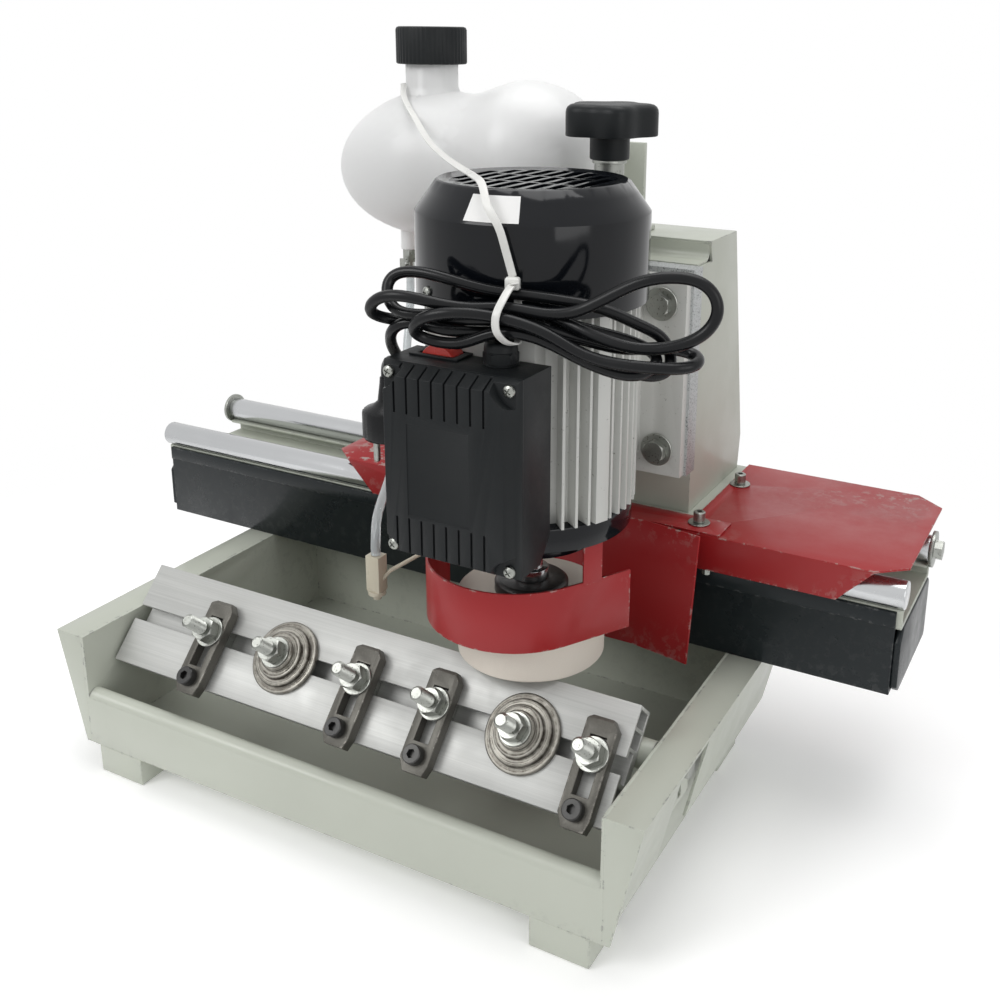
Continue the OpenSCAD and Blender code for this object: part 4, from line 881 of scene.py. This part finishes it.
def make_base():
    dressed("tray", "tray_sheet", 0.7, 2)
    dressed("side_boxes", "side_box_sheet", 0.7, 2)
    dressed("feet", "tray_feet", 0.9, 2)
    dressed("beam", "beam_sheet", 0.8, 2)
    dressed("beam_end_caps", "beam_ends", 1.2, 3)
    dressed("rail_bed", "bed_channel", 0.8, 2)
    dressed("rails", "round_rails", 1.0, 3)
    dressed("base_bolts", "base_bolt_heads", 0.5, 2)


def make_column_hood():
    """Sheet with a rounded fold that closes the column above the slide."""
    low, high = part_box("column")
    sheet = 0.0012
    gap = 0.0016
    fold = 0.007
    bends = 12
    ledge = high.z - 0.0142
    back = low.y + 0.0235
    path = [(low.y + sheet, ledge)]
    for k in range(bends + 1):
        turn = math.radians(90 * k / bends)
        path.append((back - fold + fold * math.sin(turn), ledge + fold - fold * math.cos(turn)))
    path.append((back - sheet, high.z - gap))
    points = [(x, y, z) for x in (low.x + gap, high.x - gap) for y, z in path]
    count = len(path)
    faces = [(k, k + count, k + count + 1, k + 1) for k in range(count - 1)]
    mesh = bpy.data.meshes.new("column_hood")
    mesh.from_pydata(points, [], faces)
    hood = new_piece("column_hood", mesh)
    modify(hood, "SOLIDIFY", thickness=sheet, offset=0.0)
    smooth(hood, 40)
    put(hood, "carriage", material=MATERIALS["green_enamel"])


def make_carriage():
    make_column_hood()
    dressed("carriage_plate", "carriage_sheet", 0.6, 2)
    dressed("bearing_blocks", "bearings_housed", 0.6, 2)
    dressed("column", "column_sheet", 1.6, 3)
    dressed("slide_way", "dovetail", 0.4, 2)
    dressed("screw_bracket", "screw_angle", 0.8, 2)
    dressed("cover_right", "right_cover", 0.4, 2)
    dressed("cover_left", "left_cover", 0.4, 2)
    dressed("splash_guard", "splash_sheet", 0.4, 2)
    dressed("bottle_bracket", "bottle_bar", 0.6, 2)
    dressed("drip_valve", "valve", 0.4, 2)
    dressed("nozzle", "nozzle_block", 0.5, 2)
    fasteners = []
    for x in (28, 186):
        for y, seat_z in ((43, 206), (132, 204.5)):
            here = moved(x, y, seat_z)
            fasteners.append(placed(CAP_SCREW, "c", here @ raised(1.2)))
            disc = turned("disc", [(2.7, 0), (7.7, 0), (8, 0.3), (8, 0.9), (7.7, 1.2), (2.7, 1.2)], 40,
                          closed=True)
            disc.data.transform(here)
            pin = rod("pin", 2.5, -5, 1.3, 20)
            pin.data.transform(here)
            fasteners += [disc, pin]
    nut = hexagon("lug_nut", 3.4, 7, 0.6)
    nut.data.transform(moved(197, 33.2, 173))
    put(join("cover_screws", fasteners + [nut]), "carriage", "cover_fasteners")


make_base()
make_carriage()


# ---------------------------------------------------------------- coolant bottle

def make_bottle():
    bottle = dressed("bottle", "coolant_bottle", 0.5, 2, angle=50, tidy=0.05)
    smooth(bottle, 60)
    cap = turned("cap_body", [(0, 519.3), (27, 519.3), (28, 520), (28.2, 521), (28.2, 545.5),
                              (27.4, 547.3), (25.5, 548), (0, 548)], 144)
    ribbed(cap, 144, 3, 0, 27.8, 0.982)
    cut(cap, [rod("bore", 21.3, 510, 544, 64)])
    cap.data.transform(moved(*NECK, 0))
    put(cap, "cap", "bottle_cap")
    smooth(cap, 25)


make_bottle()


# ---------------------------------------------------------------- motor and lift

def make_motor():
    dressed("slide_plate", "slide", 0.6, 2)
    dressed("motor_housing", "finned_housing", 0.3, 2, material=PALE_ALLOY)
    dressed("end_shields", "shields", 1.0, 2)
    dressed("stator", "stator_core", 0.5, 1)

    bolts = []
    for x in (61, 153):
        for z in (258, 365):
            face = moved(x, 38.6, z) @ turned_by(90, "X")
            head = hexagon("head", 8.6, 6.2, 0.9)
            head.data.transform(face @ raised(1.8))
            disc = turned("disc", [(4.2, 0), (11.7, 0), (12, 0.4), (12, 1.4), (11.6, 1.8), (4.2, 1.8)], 44,
                          closed=True)
            disc.data.transform(face)
            shank = rod("shank", 4, -20, 2)
            shank.data.transform(face)
            bolts += [head, disc, shank]
    put(join("foot_bolt_set", bolts), "motor_slide", "foot_bolts")

    hood = dressed("fan_cover", "fan_hood", 0.35, 2, tidy=0.05)
    smooth(hood, 30)
    patch = turned("patch", [(72.1, 441.6), (61.9, 455.6)], 240)
    label_sector(patch)
    put(patch, "motor_slide", material=LABEL)
    patch.name = "blank_label"


def label_sector(patch):
    """Keeps the part of a spun band that the label covers, and places it on the motor."""
    edit(patch, "DESELECT")
    leave()
    for face in patch.data.polygons:
        turn = math.degrees(math.atan2(face.center.y, face.center.x))
        face.select = not (-94 < turn < -67)
    only(patch)
    bpy.ops.object.mode_set(mode="EDIT")
    bpy.ops.mesh.delete(type="FACE")
    leave()
    patch.data.transform(moved(*MOTOR))


def make_switch_box():
    dressed("junction_box", "box_body", 1.3, 3)
    dressed("box_lid", "box_cover", 0.7, 2)
    bezel = brick("switch_bezel", (71.2, -148.1, 361.9), (104.8, -130.2, 363.4))
    cut(bezel, [brick("window", (75.9, -144.7, 350), (100.1, -130.9, 370))])
    put(round_edges(bezel, 0.5, 2), "motor_slide", material=MATERIALS["black_plastic"])
    dressed("switch_rocker", "rocker_cap", 0.8, 2)
    gland = turned("gland_body", [(3.7, 352.5), (7.1, 352.5), (7.1, 362), (10.2, 362.05), (10.4, 362.4),
                                  (10.4, 363), (9.4, 363.4), (9.4, 370.2), (9.9, 370.6), (9.7, 373.2),
                                  (9.2, 375), (8.4, 375.8), (6, 376), (3.7, 376)], 48, closed=True)
    nut = hexagon("gland_nut", 10.5, 6.4, 0.7)
    cut(nut, [rod("bore", 9, -1, 8, 40)])
    nut.data.transform(raised(363.6))
    gland = join("gland_body", [gland, nut])
    gland.data.transform(moved(*GLAND, 0))
    put(gland, "motor_slide", "cable_gland")
    screws = []
    for x in (69.25, 149.25):
        for z in (248, 356):
            at = moved(x, -167.8, z) @ turned_by(90, "X")
            screws.append(placed(CROSS, "x", at @ turned_by(x + z)))
    for turn in (30, 150, 240):
        at = moved(MOTOR.x, MOTOR.y, 395) @ turned_by(turn)
        screws.append(placed(CROSS, "x", at @ moved(75.5, 0, 0) @ turned_by(90, "Y")))
    put(join("cross_screws", screws), "motor_slide", "case_screws")


def make_wheel():
    wheel = turned("grinding_cup", [(37, 139.9), (49.2, 139.9), (50, 140.9), (50, 181.4), (49.3, 182.1),
                                    (6.1, 182.1), (6.1, 170.2), (35.6, 170.2), (37, 168.8)], 128,
                   closed=True)
    wheel.data.transform(moved(*MOTOR))
    put(wheel, "spindle", "cup_wheel")
    dressed("wheel_flanges", "flanges", 0.5, 2, material=BLACK_STEEL)
    dressed("spindle_shaft", "shaft", 0.5, 2)
    dressed("wheel_guard", "guard_band", 0.4, 2, tidy=0.05)


def make_knob():
    """Knob with five soft lobes, a round top edge and a plain stem."""
    mesh = bpy.data.meshes.new("lift_knob")
    levels = [(1.2, 0), (0.25, 0.3), (0, 1.2), (0, 16), (0.35, 18.2), (1.4, 20), (3.2, 21.3), (5.6, 21.9),
              (9, 22), (16, 22)]
    count = 180
    radius, wave, lobes = 30.7, 2.8, 5
    points = []
    faces = []
    for inset, rise in levels:
        for k in range(count):
            turn = math.tau * k / count
            reach = radius + wave * math.cos(lobes * (turn - math.radians(18))) - inset
            points.append((reach * math.cos(turn) * MM, reach * math.sin(turn) * MM, rise * MM))
    for level in range(len(levels) - 1):
        for k in range(count):
            a, b = level * count + k, level * count + (k + 1) % count
            faces.append((a, b, b + count, a + count))
    faces.append(tuple(reversed(range(count))))
    faces.append(tuple(range((len(levels) - 1) * count, len(levels) * count)))
    mesh.from_pydata(points, [], faces)
    knob = new_piece("lift_knob", mesh)
    knob.data.transform(raised(16.5))
    stem = turned("stem", [(0, 0), (12.8, 0), (13.7, 0.4), (14, 1.3), (14, 17), (0, 17)], 64)
    cut(knob, [stem], "UNION")
    cut(knob, [rod("bore", 5.15, -1, 19.5, 40)])
    knob.data.transform(moved(*KNOB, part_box("star_knob")[0].z / MM))
    smooth(knob, 40)
    put(knob, "lift_handle", "star_knob")
    dressed("lead_screw", "lift_screw", 0.6, 2)


make_motor()
make_switch_box()
make_wheel()
make_knob()
scrap(STUD, NUT, WASHER, CROSS, SOCKET, CAP_SCREW)


# ---------------------------------------------------------------- stage

def floor_paper():
    """White paper that fades into the white studio away from the machine and keeps the shadow near it."""
    material = bpy.data.materials.new("floor paper")
    material.use_nodes = True
    tree = material.node_tree
    shader = next(n for n in tree.nodes if n.type == "BSDF_PRINCIPLED")
    output = next(n for n in tree.nodes if n.type == "OUTPUT_MATERIAL")
    shader.inputs["Base Color"].default_value = (0.97, 0.97, 0.97, 1)
    shader.inputs["Emission Color"].default_value = (1, 1, 1, 1)
    shader.inputs["Emission Strength"].default_value = 0.16
    shader.inputs["Roughness"].default_value = 0.95
    shader.inputs["Specular IOR Level"].default_value = 0.0
    clear = add(tree, "ShaderNodeBsdfTransparent")
    blend = add(tree, "ShaderNodeMixShader")
    coords = add(tree, "ShaderNodeTexCoord")
    reach = add(tree, "ShaderNodeVectorMath", operation="LENGTH")
    tree.links.new(coords.outputs["Object"], reach.inputs[0])
    fade = add(tree, "ShaderNodeMapRange", interpolation_type="SMOOTHSTEP")
    fade.inputs[1].default_value = 0.38
    fade.inputs[2].default_value = 0.78
    tree.links.new(reach.outputs["Value"], fade.inputs[0])
    tree.links.new(fade.outputs[0], blend.inputs[0])
    tree.links.new(shader.outputs[0], blend.inputs[1])
    tree.links.new(clear.outputs[0], blend.inputs[2])
    tree.links.new(blend.outputs[0], output.inputs["Surface"])
    return material


def build_stage():
    bpy.ops.mesh.primitive_circle_add(vertices=96, radius=1.6, fill_type="NGON", location=(0, 0, -0.0004))
    floor = bpy.context.object
    floor.name = "floor"
    floor.data.materials.append(floor_paper())

    world = bpy.data.worlds.new("studio")
    bpy.context.scene.world = world
    world.use_nodes = True
    tree = world.node_tree
    background = next(n for n in tree.nodes if n.type == "BACKGROUND")
    paths = add(tree, "ShaderNodeLightPath")
    shown = math_node(tree, "MAXIMUM", paths.outputs["Is Camera Ray"], paths.outputs["Is Transmission Ray"])
    mirrored = math_node(tree, "MULTIPLY", paths.outputs["Is Glossy Ray"], 0.8)
    shown = math_node(tree, "MAXIMUM", shown, mirrored)
    level = add(tree, "ShaderNodeMix", data_type="FLOAT")
    level.inputs[2].default_value = 0.52
    level.inputs[3].default_value = 1.0
    tree.links.new(shown, level.inputs[0])
    tree.links.new(level.outputs[0], background.inputs["Strength"])
    background.inputs["Color"].default_value = (1, 1, 1, 1)

    def lamp(name, location, target, size, power):
        bpy.ops.object.light_add(type="AREA", location=location)
        light = bpy.context.object
        light.name = name
        light.data.shape = "RECTANGLE"
        light.data.size, light.data.size_y = size
        light.data.energy = power
        direction = Vector(target) - Vector(location)
        light.rotation_euler = direction.to_track_quat("-Z", "Y").to_euler()

    lamp("key", (-0.9, -1.7, 1.7), (0, 0, 0.25), (1.1, 1.1), 20)
    lamp("fill", (1.9, -0.9, 0.9), (0.1, 0, 0.25), (1.2, 1.2), 8)
    lamp("top", (0.1, 0.3, 2.1), (0, 0, 0.1), (1.6, 1.2), 18)


build_stage()

bpy.context.scene.view_settings.view_transform = "Standard"
